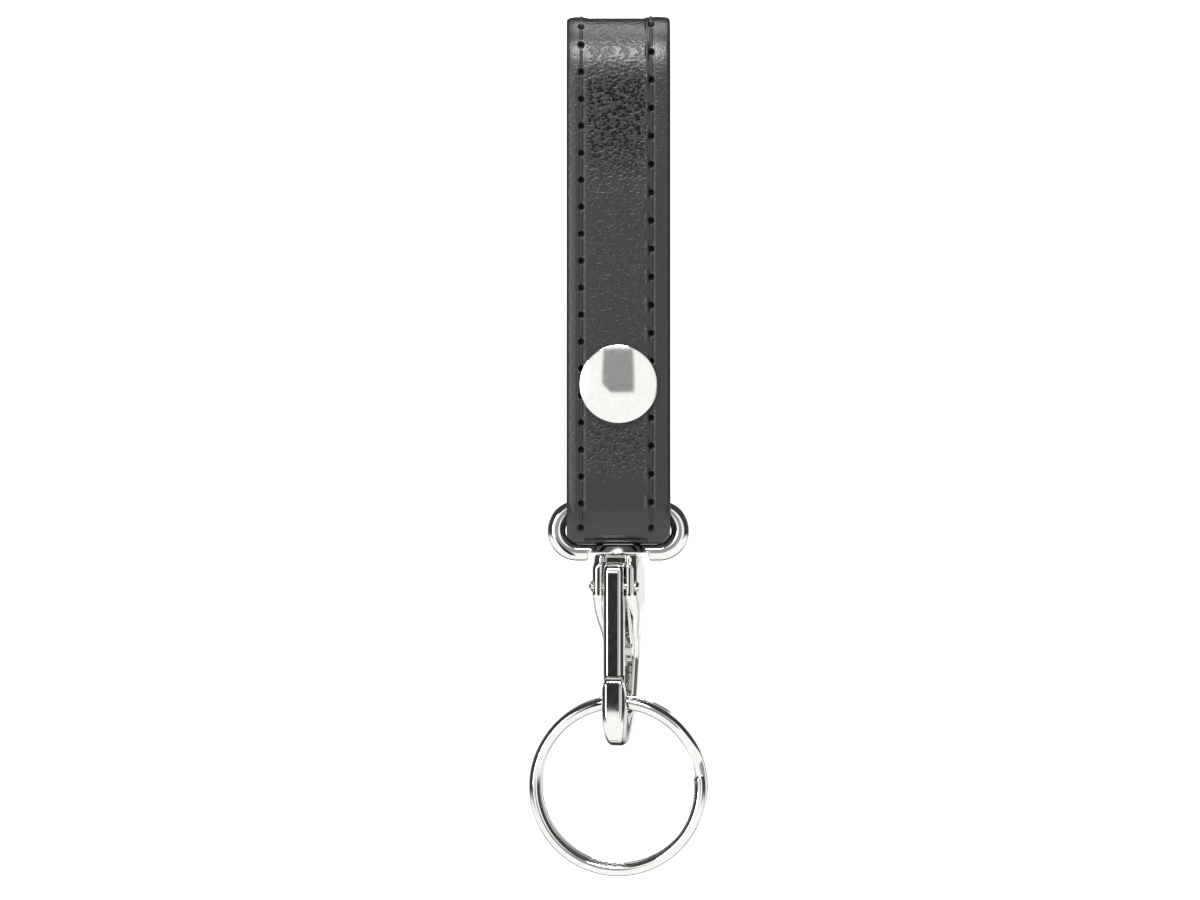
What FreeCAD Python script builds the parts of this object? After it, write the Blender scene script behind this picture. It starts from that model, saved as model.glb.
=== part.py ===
import FreeCAD, Part
import math
import os
import Sketcher

# A belt key clip: a lined leather strap that folds over a belt and closes with a snap,
# a flat-oval loop in the fold at its lower end, a swivelling snap hook and a split ring.
# Frame: origin in the middle of the belt slot, +X to the wearer's left, -Y to the front, +Z up.

Vector = FreeCAD.Vector
doc = FreeCAD.newDocument("belt_key_clip")

# Most of a wall that a rounded edge may take
SADDLE_SHARE = 0.5
EDGE_SHARE = 0.34
NOSE_SHARE = 0.7
GATE_SHARE = 0.3
# Closest that two points count as one, and how closely a wound wire must fill its path
TOUCH = 1e-4
FILL_TOLERANCE = 0.02

# Driving dimensions in millimetres, angles in degrees.
SIZES = [
    # Strap
    ("strap_width", "20"),
    ("outer_leather", "2.2"),
    ("lining_leather", "1.9"),
    ("slot_depth", "6.2"),
    ("slot_height", "57"),
    ("snap_drop", "38.9"),
    ("rear_drop", "48.5"),
    ("rear_corner", "7"),
    ("fold_drop", "63"),
    ("fold_room", "0.9"),
    ("fold_gap", "0.3"),
    ("tail_wrap", "60"),
    ("tail_room", "2"),
    # Stitching
    ("row_inset_left", "2.8"),
    ("row_inset_right", "3.7"),
    ("groove_width", "1"),
    ("groove_depth", "0.4"),
    ("thread_width", "0.75"),
    ("thread_height", "0.35"),
    ("stitch_pitch", "5.3"),
    ("stitch_length", "4.4"),
    # Snap
    ("cap_diameter", "15"),
    ("cap_height", "2.3"),
    ("cap_edge", "1.2"),
    ("cap_wall", "0.45"),
    ("cap_lip", "1.2"),
    ("barrel_diameter", "4.4"),
    ("barrel_wall", "0.5"),
    ("barrel_flange", "0.35"),
    ("barrel_room", "0.1"),
    ("curl_width", "0.8"),
    ("curl_height", "0.45"),
    ("socket_diameter", "12.2"),
    ("socket_floor", "0.6"),
    ("socket_wall", "0.5"),
    ("socket_mouth", "0.5"),
    ("snap_gap", "0.3"),
    ("grip_wire", "0.7"),
    ("grip_room", "0.25"),
    ("grip_opening", "30"),
    ("stud_diameter", "12"),
    ("stud_flange", "0.5"),
    ("stud_neck", "5.4"),
    ("stud_bead", "0.4"),
    ("stud_bevel", "0.3"),
    ("stud_wall", "0.5"),
    ("tip_room", "0.35"),
    ("mouth_room", "0.35"),
    ("post_flange_diameter", "10"),
    ("post_flange", "0.5"),
    ("post_diameter", "4.2"),
    ("post_wall", "0.5"),
    # Loop and swivel
    ("loop_wire", "3.2"),
    ("loop_side_room", "0.6"),
    ("boss_thickness", "1.6"),
    ("boss_overlap", "0.3"),
    ("head_gap", "0.2"),
    ("head_room", "1"),
    ("neck_room", "0.3"),
    ("rivet_diameter", "3"),
    ("rivet_head", "5.6"),
    ("rivet_head_height", "1.1"),
    ("rivet_depth", "4.5"),
    ("rivet_fit", "0.08"),
    # Hook body
    ("hook_turn", "11"),
    ("hook_width", "8.8"),
    ("head_front", "4.8"),
    ("head_height", "8.7"),
    ("eye_depth", "5.8"),
    ("eye_top", "10.2"),
    ("eye_corner", "2.6"),
    ("hook_wall", "3.1"),
    ("saddle_drop", "30.7"),
    ("bowl_thickness", "6.6"),
    ("flank_start", "7"),
    ("flank_length", "20.3"),
    ("flank_crest", "10"),
    ("nose_width", "4.8"),
    ("nose_drop", "23.65"),
    ("nose_tip", "1.45"),
    ("nose_bevel", "1.35"),
    ("nose_point", "2.8"),
    ("catch_depth", "1.35"),
    ("hook_round", "1"),
    ("saddle_round", "1.5"),
    ("ear_round", "0.9"),
    # Gate, pin and spring
    ("gate_width", "4"),
    ("gate_front", "5.9"),
    ("gate_depth", "2.2"),
    ("gate_top", "1.6"),
    ("gate_dome", "2"),
    ("gate_bevel", "0.5"),
    ("gate_wall", "0.6"),
    ("gate_side", "0.65"),
    ("gate_floor", "1"),
    ("gate_round", "1"),
    ("gate_lug", "1.6"),
    ("gate_room", "0.25"),
    ("gate_gap", "0.3"),
    ("pin_diameter", "1.2"),
    ("pin_fit", "0.05"),
    ("pin_head", "2.2"),
    ("pin_head_height", "0.5"),
    ("pin_drop", "6.2"),
    ("spring_wire", "0.36"),
    ("spring_turns", "2"),
    ("spring_pitch", "0.86"),
    ("spring_room", "0.12"),
    ("spring_leg", "3.2"),
    # Split ring
    ("ring_diameter", "34.6"),
    ("ring_width", "2.3"),
    ("ring_strip", "1.2"),
    ("ring_turn_gap", "0.45"),
    ("ring_step", "32"),
    ("ring_mouth", "7"),
    ("ring_split", "47"),
    ("ring_turn", "5"),
    ("ring_seat", "0.6"),
]

# Places and sizes that follow from the driving dimensions.
PLACES = [
    # Strap: layers outwards from the belt slot, bend at the top, fold at the bottom
    ("half_width", "=Sizes.strap_width / 2"),
    ("slot_half", "=Sizes.slot_depth / 2"),
    ("leather", "=Sizes.outer_leather + Sizes.lining_leather"),
    ("lining_radius", "=slot_half + Sizes.lining_leather"),
    ("strap_radius", "=lining_radius + Sizes.outer_leather"),
    ("bend_z", "=Sizes.slot_height / 2 - slot_half"),
    ("bar_radius", "=Sizes.loop_wire / 2"),
    ("fold_bore", "=bar_radius + Sizes.fold_room"),
    ("fold_lining", "=fold_bore + Sizes.lining_leather"),
    ("fold_radius", "=fold_lining + Sizes.outer_leather"),
    ("fold_y", "=fold_radius - strap_radius"),
    ("fold_z", "=-Sizes.fold_drop"),
    ("tail_back", "=Sizes.outer_leather - slot_half"),
    ("wrap_reach", "=(fold_y + fold_radius - tail_back) / (1 - cos(Sizes.tail_wrap))"),
    ("wrap_back_y", "=fold_y + fold_radius * cos(Sizes.tail_wrap)"),
    ("wrap_back_z", "=fold_z + fold_radius * sin(Sizes.tail_wrap)"),
    ("wrap_front_y", "=fold_y + fold_lining * cos(Sizes.tail_wrap)"),
    ("wrap_front_z", "=fold_z + fold_lining * sin(Sizes.tail_wrap)"),
    ("turn_z", "=fold_z + wrap_reach * sin(Sizes.tail_wrap)"),
    ("turn_inner", "=wrap_reach - fold_radius"),
    ("turn_outer", "=wrap_reach - fold_lining"),
    ("tail_top", "=-Sizes.slot_height / 2 - Sizes.tail_room"),
    ("rear_z", "=-Sizes.rear_drop"),
    # Stitch rows
    ("row_left", "=Sizes.row_inset_left - half_width"),
    ("row_right", "=half_width - Sizes.row_inset_right"),
    ("groove_half", "=Sizes.groove_width / 2"),
    ("thread_half", "=Sizes.thread_width / 2"),
    ("groove_floor", "=strap_radius - Sizes.groove_depth"),
    ("thread_top", "=groove_floor + Sizes.thread_height"),
    ("stitch_start", "=(Sizes.stitch_pitch - Sizes.stitch_length) / 2"),
    ("front_stitches", "=floor((bend_z - fold_z) / Sizes.stitch_pitch)"),
    ("front_run", "=(front_stitches - 1) * Sizes.stitch_pitch"),
    ("rear_stitches", "=floor((bend_z - rear_z - Sizes.rear_corner) / Sizes.stitch_pitch)"),
    ("rear_run", "=(rear_stitches - 1) * Sizes.stitch_pitch"),
    ("bend_stitches", "=floor(pi * strap_radius / Sizes.stitch_pitch)"),
    ("bend_stitch_step", "=180 / bend_stitches"),
    ("bend_stitch_angle", "=bend_stitch_step * Sizes.stitch_length / Sizes.stitch_pitch"),
    ("bend_stitch_run", "=bend_stitch_step * (bend_stitches - 1)"),
    # Snap
    ("snap_z", "=-Sizes.snap_drop"),
    ("cap_radius", "=Sizes.cap_diameter / 2"),
    ("cap_rise", "=Sizes.cap_height - Sizes.cap_edge"),
    ("cap_dome", "=(cap_radius ^ 2 + cap_rise ^ 2) / (2 * cap_rise)"),
    ("cap_hollow", "=cap_dome - Sizes.cap_wall"),
    ("cap_inner", "=cap_radius - Sizes.cap_wall"),
    ("cap_inner_edge", "=Sizes.cap_height - cap_dome + sqrt(cap_hollow ^ 2 - cap_inner ^ 2)"),
    ("flange_radius", "=cap_inner - Sizes.barrel_room"),
    ("barrel_radius", "=Sizes.barrel_diameter / 2"),
    ("barrel_bore", "=barrel_radius - Sizes.barrel_wall"),
    ("barrel_hole", "=barrel_radius + Sizes.barrel_room"),
    ("curl_radius", "=barrel_radius + Sizes.curl_width"),
    ("stack", "=leather + Sizes.outer_leather"),
    ("curl_top", "=stack + Sizes.socket_floor"),
    ("curl_end", "=curl_top + Sizes.curl_height"),
    ("socket_radius", "=Sizes.socket_diameter / 2"),
    ("socket_inner", "=socket_radius - Sizes.socket_wall"),
    ("socket_end", "=leather + Sizes.slot_depth - Sizes.stud_flange - Sizes.snap_gap"),
    ("mouth_top", "=socket_end - Sizes.socket_mouth"),
    ("neck_radius", "=Sizes.stud_neck / 2"),
    ("bead_radius", "=neck_radius + Sizes.stud_bead"),
    ("mouth_radius", "=bead_radius + Sizes.mouth_room"),
    ("grip_radius", "=Sizes.grip_wire / 2"),
    ("grip_ring", "=neck_radius + Sizes.grip_room + grip_radius"),
    ("grip_y", "=mouth_top - grip_radius - Sizes.barrel_room - strap_radius"),
    ("stud_radius", "=Sizes.stud_diameter / 2"),
    ("stud_tip", "=leather + Sizes.slot_depth - curl_end - Sizes.tip_room"),
    ("bead_top", "=stud_tip - Sizes.stud_bevel"),
    ("bead_foot", "=bead_top - Sizes.stud_bevel"),
    ("post_radius", "=Sizes.post_diameter / 2"),
    ("post_hole", "=post_radius + Sizes.barrel_room"),
    ("post_bore", "=post_radius - Sizes.post_wall"),
    ("post_flange_radius", "=Sizes.post_flange_diameter / 2"),
    ("post_seat", "=post_flange_radius + Sizes.barrel_room"),
    ("stud_hollow", "=stud_tip - Sizes.stud_wall"),
    ("post_end", "=leather + stud_hollow - Sizes.barrel_room"),
    # Loop: two bars and two half-round ends
    ("loop_arc", "=(Sizes.loop_wire + Sizes.fold_room + leather + Sizes.fold_gap) / 2"),
    ("loop_bar_half", "=half_width + Sizes.loop_side_room + bar_radius - loop_arc"),
    ("loop_bar", "=2 * loop_bar_half"),
    ("loop_reach", "=loop_bar_half + loop_arc"),
    ("edge_arc", "=loop_arc - bar_radius - Sizes.fold_gap"),
    ("edge_reach", "=loop_bar_half + edge_arc"),
    ("loop_mid_z", "=fold_z - loop_arc"),
    ("loop_low_z", "=fold_z - 2 * loop_arc"),
    ("boss_top", "=loop_low_z + bar_radius"),
    ("boss_z", "=boss_top - Sizes.boss_thickness"),
    ("relief_radius", "=hook_half + Sizes.head_room"),
    ("boss_radius", "=relief_radius + Sizes.boss_overlap"),
    ("relief_z", "=boss_z - Sizes.loop_wire"),
    ("rivet_radius", "=Sizes.rivet_diameter / 2"),
    ("rivet_hole", "=rivet_radius + Sizes.rivet_fit"),
    ("rivet_head_radius", "=Sizes.rivet_head / 2"),
    ("rivet_seat", "=rivet_head_radius + Sizes.rivet_fit"),
    ("sink_z", "=boss_top - Sizes.rivet_head_height"),
    # Hook: its own frame has the swivel axis as Z and the top of the head at zero
    ("head_z", "=boss_z - Sizes.head_gap"),
    ("hook_half", "=Sizes.hook_width / 2"),
    ("hook_clear", "=hook_half + Sizes.hook_wall"),
    ("neck_height", "=Sizes.loop_wire - Sizes.boss_thickness - Sizes.head_gap + Sizes.neck_room"),
    ("rivet_top", "=Sizes.head_gap + Sizes.boss_thickness"),
    ("rivet_shoulder", "=rivet_top - Sizes.rivet_head_height"),
    ("eye_half", "=Sizes.eye_depth / 2"),
    ("hook_outer", "=eye_half + Sizes.hook_wall"),
    ("saddle_centre", "=Sizes.saddle_drop - eye_half"),
    ("bowl_bottom", "=Sizes.saddle_drop + Sizes.bowl_thickness"),
    ("bowl_centre", "=bowl_bottom - hook_outer"),
    ("eye_side", "=eye_half - Sizes.eye_corner"),
    ("eye_turn", "=Sizes.eye_top + Sizes.eye_corner"),
    ("nose_half", "=Sizes.nose_width / 2"),
    ("point_half", "=Sizes.nose_point / 2"),
    ("flank_angle", "=2 * atan((hook_half - nose_half) / Sizes.flank_length)"),
    ("flank_hollow", "=Sizes.flank_length / sin(flank_angle) - Sizes.flank_crest"),
    ("flank_half", "=hook_half - Sizes.flank_crest * (1 - cos(flank_angle))"),
    ("flank_middle", "=Sizes.flank_start + Sizes.flank_crest * sin(flank_angle)"),
    ("flank_end", "=Sizes.flank_start + Sizes.flank_length"),
    ("eye_round", f"=min(Sizes.saddle_round; {SADDLE_SHARE} * Sizes.hook_wall; {NOSE_SHARE} * nose_half)"),
    ("edge_round", f"=min(Sizes.hook_round; {EDGE_SHARE} * Sizes.hook_wall)"),
    ("tip_back", "=hook_outer - Sizes.nose_tip"),
    ("tip_front", "=hook_outer - Sizes.nose_tip / 2"),
    ("nose_shoulder", "=Sizes.nose_drop + Sizes.nose_bevel"),
    ("catch_z", "=Sizes.nose_drop + Sizes.catch_depth"),
    # Gate
    ("gate_half", "=Sizes.gate_width / 2"),
    ("gate_edge", f"=min(Sizes.gate_round; {GATE_SHARE} * Sizes.gate_width)"),
    ("gate_back", "=Sizes.gate_front - Sizes.gate_depth"),
    ("gate_crown", "=Sizes.gate_front - Sizes.gate_dome"),
    ("gate_neck", "=Sizes.gate_top + Sizes.gate_dome"),
    ("gate_end", "=Sizes.nose_drop - Sizes.gate_gap"),
    ("tongue_front", "=tip_back - Sizes.gate_room"),
    ("tongue_end", "=catch_z - Sizes.gate_gap"),
    ("pin_radius", "=Sizes.pin_diameter / 2"),
    ("pin_hole", "=pin_radius + Sizes.pin_fit"),
    ("coil_radius", "=pin_radius + Sizes.spring_room + Sizes.spring_wire / 2"),
    ("coil_outer", "=coil_radius + Sizes.spring_wire / 2"),
    ("pin_y", "=Sizes.gate_front - Sizes.gate_wall - Sizes.spring_room - coil_outer"),
    ("lug_rise", "=sqrt(Sizes.gate_lug ^ 2 - (pin_y - gate_back) ^ 2)"),
    ("lug_low", "=Sizes.pin_drop + lug_rise"),
    ("lug_high", "=Sizes.pin_drop - lug_rise"),
    ("slot_back", "=pin_y - Sizes.gate_lug - Sizes.gate_room"),
    ("slot_wide_half", "=gate_half + Sizes.gate_room"),
    ("channel", "=Sizes.gate_width - 2 * Sizes.gate_side"),
    ("channel_front", "=Sizes.gate_front - Sizes.gate_wall"),
    ("channel_end", "=gate_end - Sizes.gate_floor"),
    ("pin_head_radius", "=Sizes.pin_head / 2"),
    ("pin_end", "=hook_half + Sizes.pin_head_height"),
    # Split ring
    ("ring_radius", "=Sizes.ring_diameter / 2 - Sizes.ring_width / 2"),
    ("ring_pitch", "=Sizes.ring_strip + Sizes.ring_turn_gap"),
    ("ring_inner", "=Sizes.ring_diameter / 2 - Sizes.ring_width"),
    ("ring_z", "=head_z - Sizes.saddle_drop + Sizes.ring_seat - ring_inner"),
]


def fill(name, rows):
    sheet = doc.addObject("Spreadsheet::Sheet", name)
    for row, (alias, content) in enumerate(rows, start=1):
        sheet.set(f"A{row}", alias)
        sheet.set(f"B{row}", content)
        sheet.setAlias(f"B{row}", alias)
    return sheet


sizes = fill("Sizes", SIZES)
places = fill("Places", PLACES)
doc.recompute()
SIZE_NAMES = {alias for alias, content in SIZES}


def terms(text):
    """Signs and names of a sum such as "half_width - groove_half"."""
    sign = 1
    for word in text.replace("-", " - ").split():
        if word in "+-":
            sign = -sign if word == "-" else sign
        else:
            yield sign, word
            sign = 1


def number(text):
    """A sum of named sizes as a plain number."""
    total = 0.0
    for sign, name in terms(text):
        sheet = sizes if name in SIZE_NAMES else places
        total += sign * float(sheet.get(name))
    return total


def bound(text):
    """The same sum as an expression over the two sheets."""
    words = []
    for sign, name in terms(text):
        sheet = "Sizes" if name in SIZE_NAMES else "Places"
        words.append(f"{'-' if sign < 0 else '+'} {sheet}.{name}")
    return "0 " + " ".join(words)


def new_body(label):
    body = doc.addObject("PartDesign::Body", label)
    body.Label = label
    return body


def new_sketch(body, role, offset=None):
    sketch = body.newObject("Sketcher::SketchObject", body.Label + "_sketch")
    plane = next(item for item in body.Origin.OriginFeatures if item.Role == role)
    sketch.AttachmentSupport = [(plane, "")]
    sketch.MapMode = "FlatFace"
    if offset:
        sketch.setExpression("AttachmentOffset.Base.z", bound(offset))
    return sketch


def arc_between(start, end, radius, left):
    """The shorter arc from start to end, with its centre on the left or the right of the way."""
    chord = end - start
    across = Vector(-chord.y, chord.x, 0).normalize()
    height = math.sqrt(max(radius ** 2 - (chord.Length / 2) ** 2, 0.0))
    centre = start + chord * 0.5 + across * (height if left else -height)
    first, last = (start, end) if left else (end, start)
    begin = math.atan2(first.y - centre.y, first.x - centre.x)
    finish = math.atan2(last.y - centre.y, last.x - centre.x)
    if finish < begin:
        finish += 2 * math.pi
    return Part.ArcOfCircle(Part.Circle(centre, Vector(0, 0, 1), radius), begin, finish)


def fix(sketch, edge, end, across, up):
    """Tie one end of an edge to named places; an empty name stands for the axis itself."""
    for kind, text, axis in (("DistanceX", across, -2), ("DistanceY", up, -1)):
        if text:
            index = sketch.addConstraint(Sketcher.Constraint(kind, -1, 1, edge, end, number(text)))
            sketch.setExpression(f"Constraints[{index}]", bound(text))
        else:
            sketch.addConstraint(Sketcher.Constraint("PointOnObject", edge, end, axis))


def draw(sketch, corners):
    """A closed outline. A corner is (across, up), or (across, up, radius, side) before an arc."""
    points = [Vector(number(corner[0]), number(corner[1]), 0) for corner in corners]
    ends = []
    for index, corner in enumerate(corners):
        start, end = points[index], points[(index + 1) % len(points)]
        if len(corner) == 2:
            edge = sketch.addGeometry(Part.LineSegment(start, end), False)
            ends.append((edge, 1, 2))
        else:
            left = corner[3] == "left"
            edge = sketch.addGeometry(arc_between(start, end, number(corner[2]), left), False)
            ends.append((edge, 1, 2) if left else (edge, 2, 1))
    for index, corner in enumerate(corners):
        edge, first, last = ends[index]
        following, joined = ends[(index + 1) % len(ends)][:2]
        sketch.addConstraint(Sketcher.Constraint("Coincident", edge, last, following, joined))
        fix(sketch, edge, first, corner[0], corner[1])
        if len(corner) == 4:
            limit = sketch.addConstraint(Sketcher.Constraint("Radius", edge, number(corner[2])))
            sketch.setExpression(f"Constraints[{limit}]", bound(corner[2]))


def draw_box(sketch, left, right, low, high):
    draw(sketch, [(left, low), (right, low), (right, high), (left, high)])


def draw_circle(sketch, across, up, radius):
    circle = Part.Circle(Vector(number(across), number(up), 0), Vector(0, 0, 1), number(radius))
    edge = sketch.addGeometry(circle, False)
    fix(sketch, edge, 3, across, up)
    limit = sketch.addConstraint(Sketcher.Constraint("Radius", edge, number(radius)))
    sketch.setExpression(f"Constraints[{limit}]", bound(radius))


def pad(body, sketch, length, symmetric=False):
    feature = body.newObject("PartDesign::Pad", body.Label + "_pad")
    feature.Profile = sketch
    feature.setExpression("Length", bound(length))
    feature.SideType = "Symmetric" if symmetric else "One side"
    doc.recompute()
    return feature


def pocket(body, sketch, length=None, symmetric=False, flip=False):
    """A cut of the given length, or right through; it must take material away."""
    before = body.Shape.Volume
    feature = body.newObject("PartDesign::Pocket", body.Label + "_pocket")
    feature.Profile = sketch
    if length:
        feature.setExpression("Length", bound(length))
    else:
        feature.Type = "ThroughAll"
    feature.SideType = "Symmetric" if symmetric else "One side"
    feature.Reversed = flip
    doc.recompute()
    if body.Shape.Volume >= before:
        raise RuntimeError("a pocket of " + body.Label + " cuts nothing")
    return feature


def revolve(body, sketch, axis, angle=None, flip=False):
    feature = body.newObject("PartDesign::Revolution", body.Label + "_turn")
    feature.Profile = sketch
    feature.ReferenceAxis = (sketch, [axis])
    feature.Angle = 360
    if angle:
        feature.setExpression("Angle", bound(angle))
    feature.Reversed = flip
    doc.recompute()
    return feature


def round_edges(body, radius, wanted):
    """Fillet the edges of the last feature that the test picks."""
    base = body.Tip
    names = [f"Edge{index}" for index, edge in enumerate(base.Shape.Edges, start=1) if wanted(edge)]
    feature = body.newObject("PartDesign::Fillet", body.Label + "_round")
    feature.Base = (base, names)
    feature.setExpression("Radius", bound(radius))
    doc.recompute()
    return feature


def put(item, across="", back="", up=""):
    """Tie an object's place to the sheets."""
    for axis, text in (("x", across), ("y", back), ("z", up)):
        if text:
            item.setExpression(f"Placement.Base.{axis}", bound(text))


def put_facing_front(item, back, up):
    """Turn an object's own Z axis to the front and tie its place."""
    item.Placement = FreeCAD.Placement(Vector(), FreeCAD.Rotation(Vector(1, 0, 0), 90))
    put(item, "", back, up)


def put_in_hook(item):
    """Set an object in the hook's frame, turned about the swivel axis."""
    item.Placement = FreeCAD.Placement(Vector(), FreeCAD.Rotation(Vector(0, 0, -1), 1))
    item.setExpression("Placement.Rotation.Angle", bound("hook_turn"))
    put(item, "", "fold_y", "head_z")


def turned_body(label, profile):
    """A body turned about its own Z axis from a half profile."""
    body = new_body(label)
    sketch = new_sketch(body, "XZ_Plane")
    draw(sketch, profile)
    revolve(body, sketch, "V_Axis")
    return body


# Strap: the front runs with the fold that holds the loop


def front_outer():
    body = new_body("strap_outer_front")
    sketch = new_sketch(body, "YZ_Plane")
    draw(sketch, [
        ("-strap_radius", "bend_z"),
        ("-strap_radius", "fold_z", "fold_radius", "left"),
        ("fold_y", "fold_z - fold_radius", "fold_radius", "left"),
        ("fold_y + fold_radius", "fold_z", "fold_radius", "left"),
        ("wrap_back_y", "wrap_back_z", "turn_inner", "right"),
        ("tail_back", "turn_z"),
        ("tail_back", "tail_top"),
        ("-slot_half", "tail_top"),
        ("-slot_half", "turn_z", "turn_outer", "left"),
        ("wrap_front_y", "wrap_front_z", "fold_lining", "right"),
        ("fold_y + fold_lining", "fold_z", "fold_lining", "right"),
        ("fold_y", "fold_z - fold_lining", "fold_lining", "right"),
        ("-lining_radius", "fold_z"),
        ("-lining_radius", "bend_z"),
    ])
    pad(body, sketch, "strap_width", symmetric=True)
    trim_fold_edges(body)
    cut_snap_hole(body, "barrel_hole")
    cut_grooves(body, "strap_radius", "fold_z", flip=False)
    return body


def front_lining():
    body = new_body("strap_lining_front")
    sketch = new_sketch(body, "YZ_Plane")
    draw(sketch, [
        ("-lining_radius", "bend_z"),
        ("-lining_radius", "fold_z", "fold_lining", "left"),
        ("fold_y", "fold_z - fold_lining", "fold_lining", "left"),
        ("fold_y + fold_lining", "fold_z"),
        ("fold_y + fold_bore", "fold_z", "fold_bore", "right"),
        ("fold_y", "fold_z - fold_bore", "fold_bore", "right"),
        ("-slot_half", "fold_z"),
        ("-slot_half", "bend_z"),
    ])
    pad(body, sketch, "strap_width", symmetric=True)
    trim_fold_edges(body)
    cut_snap_hole(body, "barrel_hole")
    return body


def trim_fold_edges(body):
    """Round the strap's edges in the fold, so that the loop's round ends swing clear of them."""
    before = body.Shape.Volume
    sketch = new_sketch(body, "XZ_Plane", "-fold_y")
    sketch.setExpression("AttachmentOffset.Base.y", bound("fold_z"))
    for side, turn in (("", "left"), ("-", "right")):
        draw(sketch, [
            (side + "loop_bar_half", "-fold_radius", "edge_arc", turn),
            (side + "edge_reach", "-loop_arc", "edge_arc", turn),
            (side + "loop_bar_half", "-bar_radius - fold_gap"),
            (side + "loop_reach", "-bar_radius - fold_gap"),
            (side + "loop_reach", "-fold_radius - fold_gap"),
            (side + "loop_bar_half", "-fold_radius - fold_gap"),
        ])
    cut = body.newObject("PartDesign::Groove", body.Label + "_edges")
    cut.Profile = sketch
    cut.ReferenceAxis = (sketch, ["H_Axis"])
    cut.Angle = 180
    cut.Midplane = True
    doc.recompute()
    if body.Shape.Volume >= before:
        raise RuntimeError("the edges of " + body.Label + " aren't trimmed")


def cut_snap_hole(body, radius):
    sketch = new_sketch(body, "XZ_Plane")
    draw_circle(sketch, "", "snap_z", radius)
    pocket(body, sketch, symmetric=True)


def cut_grooves(body, face, foot, flip):
    """The two sunk lines that the stitches lie in, on the face at that distance to the front."""
    sketch = new_sketch(body, "XZ_Plane", face)
    for row in ("row_left", "row_right"):
        draw_box(sketch, row + " - groove_half", row + " + groove_half", foot, "bend_z")
    pocket(body, sketch, "groove_depth", flip=flip)


# Strap: half-round bends over the top edge of the belt


def bend(label, profile):
    body = new_body(label)
    sketch = new_sketch(body, "XY_Plane")
    draw(sketch, profile)
    revolve(body, sketch, "H_Axis", flip=True).Angle = 180
    put(body, "", "", "bend_z")
    return body


def bend_outer():
    profile = [
        ("half_width", "-lining_radius"),
        ("-half_width", "-lining_radius"),
        ("-half_width", "-strap_radius"),
    ]
    for row in ("row_left", "row_right"):
        profile += [
            (row + " - groove_half", "-strap_radius"),
            (row + " - groove_half", "-groove_floor"),
            (row + " + groove_half", "-groove_floor"),
            (row + " + groove_half", "-strap_radius"),
        ]
    return bend("strap_outer_bend", profile + [("half_width", "-strap_radius")])


def bend_lining():
    return bend("strap_lining_bend", [
        ("-half_width", "-lining_radius"),
        ("half_width", "-lining_radius"),
        ("half_width", "-slot_half"),
        ("-half_width", "-slot_half"),
    ])


# Strap: the rear runs, with rounded lower corners


def rear_run(label, face, thickness):
    body = new_body(label)
    sketch = new_sketch(body, "XZ_Plane", "-" + face)
    draw(sketch, [
        ("-half_width", "bend_z"),
        ("-half_width", "rear_z + rear_corner", "rear_corner", "left"),
        ("-half_width + rear_corner", "rear_z"),
        ("half_width - rear_corner", "rear_z", "rear_corner", "left"),
        ("half_width", "rear_z + rear_corner"),
        ("half_width", "bend_z"),
    ])
    pad(body, sketch, thickness)
    cut_snap_hole(body, "post_hole")
    return body


def rear_outer():
    body = rear_run("strap_outer_rear", "strap_radius", "outer_leather")
    seat = new_sketch(body, "XZ_Plane", "-strap_radius")
    draw_circle(seat, "", "snap_z", "post_seat")
    pocket(body, seat, "post_flange", flip=True)
    cut_grooves(body, "-strap_radius", "rear_z + rear_corner", flip=True)
    return body


def rear_lining():
    return rear_run("strap_lining_rear", "lining_radius", "lining_leather")


# Stitching: short bars of thread in the grooves


def straight_stitches(label, face, count, run):
    body = new_body(label)
    sketch = new_sketch(body, "XZ_Plane", face)
    for row in ("row_left", "row_right"):
        draw_box(
            sketch, row + " - thread_half", row + " + thread_half",
            "bend_z - stitch_start - stitch_length", "bend_z - stitch_start",
        )
    stitch = pad(body, sketch, "thread_height")
    pattern = body.newObject("PartDesign::LinearPattern", label + "_rows")
    pattern.Originals = [stitch]
    pattern.Direction = (sketch, ["V_Axis"])
    pattern.Reversed = True
    pattern.setExpression("Length", bound(run))
    pattern.setExpression("Occurrences", bound(count))
    body.Tip = pattern
    doc.recompute()
    return body


def bend_stitches():
    body = new_body("stitching_bend")
    sketch = new_sketch(body, "XY_Plane")
    for row in ("row_left", "row_right"):
        draw_box(sketch, row + " - thread_half", row + " + thread_half", "-thread_top", "-groove_floor")
    stitch = revolve(body, sketch, "H_Axis", "bend_stitch_angle", flip=True)
    pattern = body.newObject("PartDesign::PolarPattern", "stitching_bend_rows")
    pattern.Originals = [stitch]
    pattern.Axis = (sketch, ["H_Axis"])
    pattern.Reversed = True
    pattern.setExpression("Angle", bound("bend_stitch_run"))
    pattern.setExpression("Occurrences", bound("bend_stitches"))
    body.Tip = pattern
    put(body, "", "", "bend_z")
    doc.recompute()
    return body


# Snap: cap, barrel, socket and grip ring on the front run, stud and post on the rear run


def snap_cap():
    body = turned_body("snap_cap", [
        ("", "cap_height", "cap_dome", "right"),
        ("cap_radius", "cap_edge"),
        ("cap_radius", ""),
        ("cap_radius - cap_lip", ""),
        ("cap_radius - cap_lip", "cap_wall"),
        ("cap_inner", "cap_wall"),
        ("cap_inner", "cap_inner_edge", "cap_hollow", "left"),
        ("", "cap_height - cap_wall"),
    ])
    put_facing_front(body, "-strap_radius", "snap_z")
    return body


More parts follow.
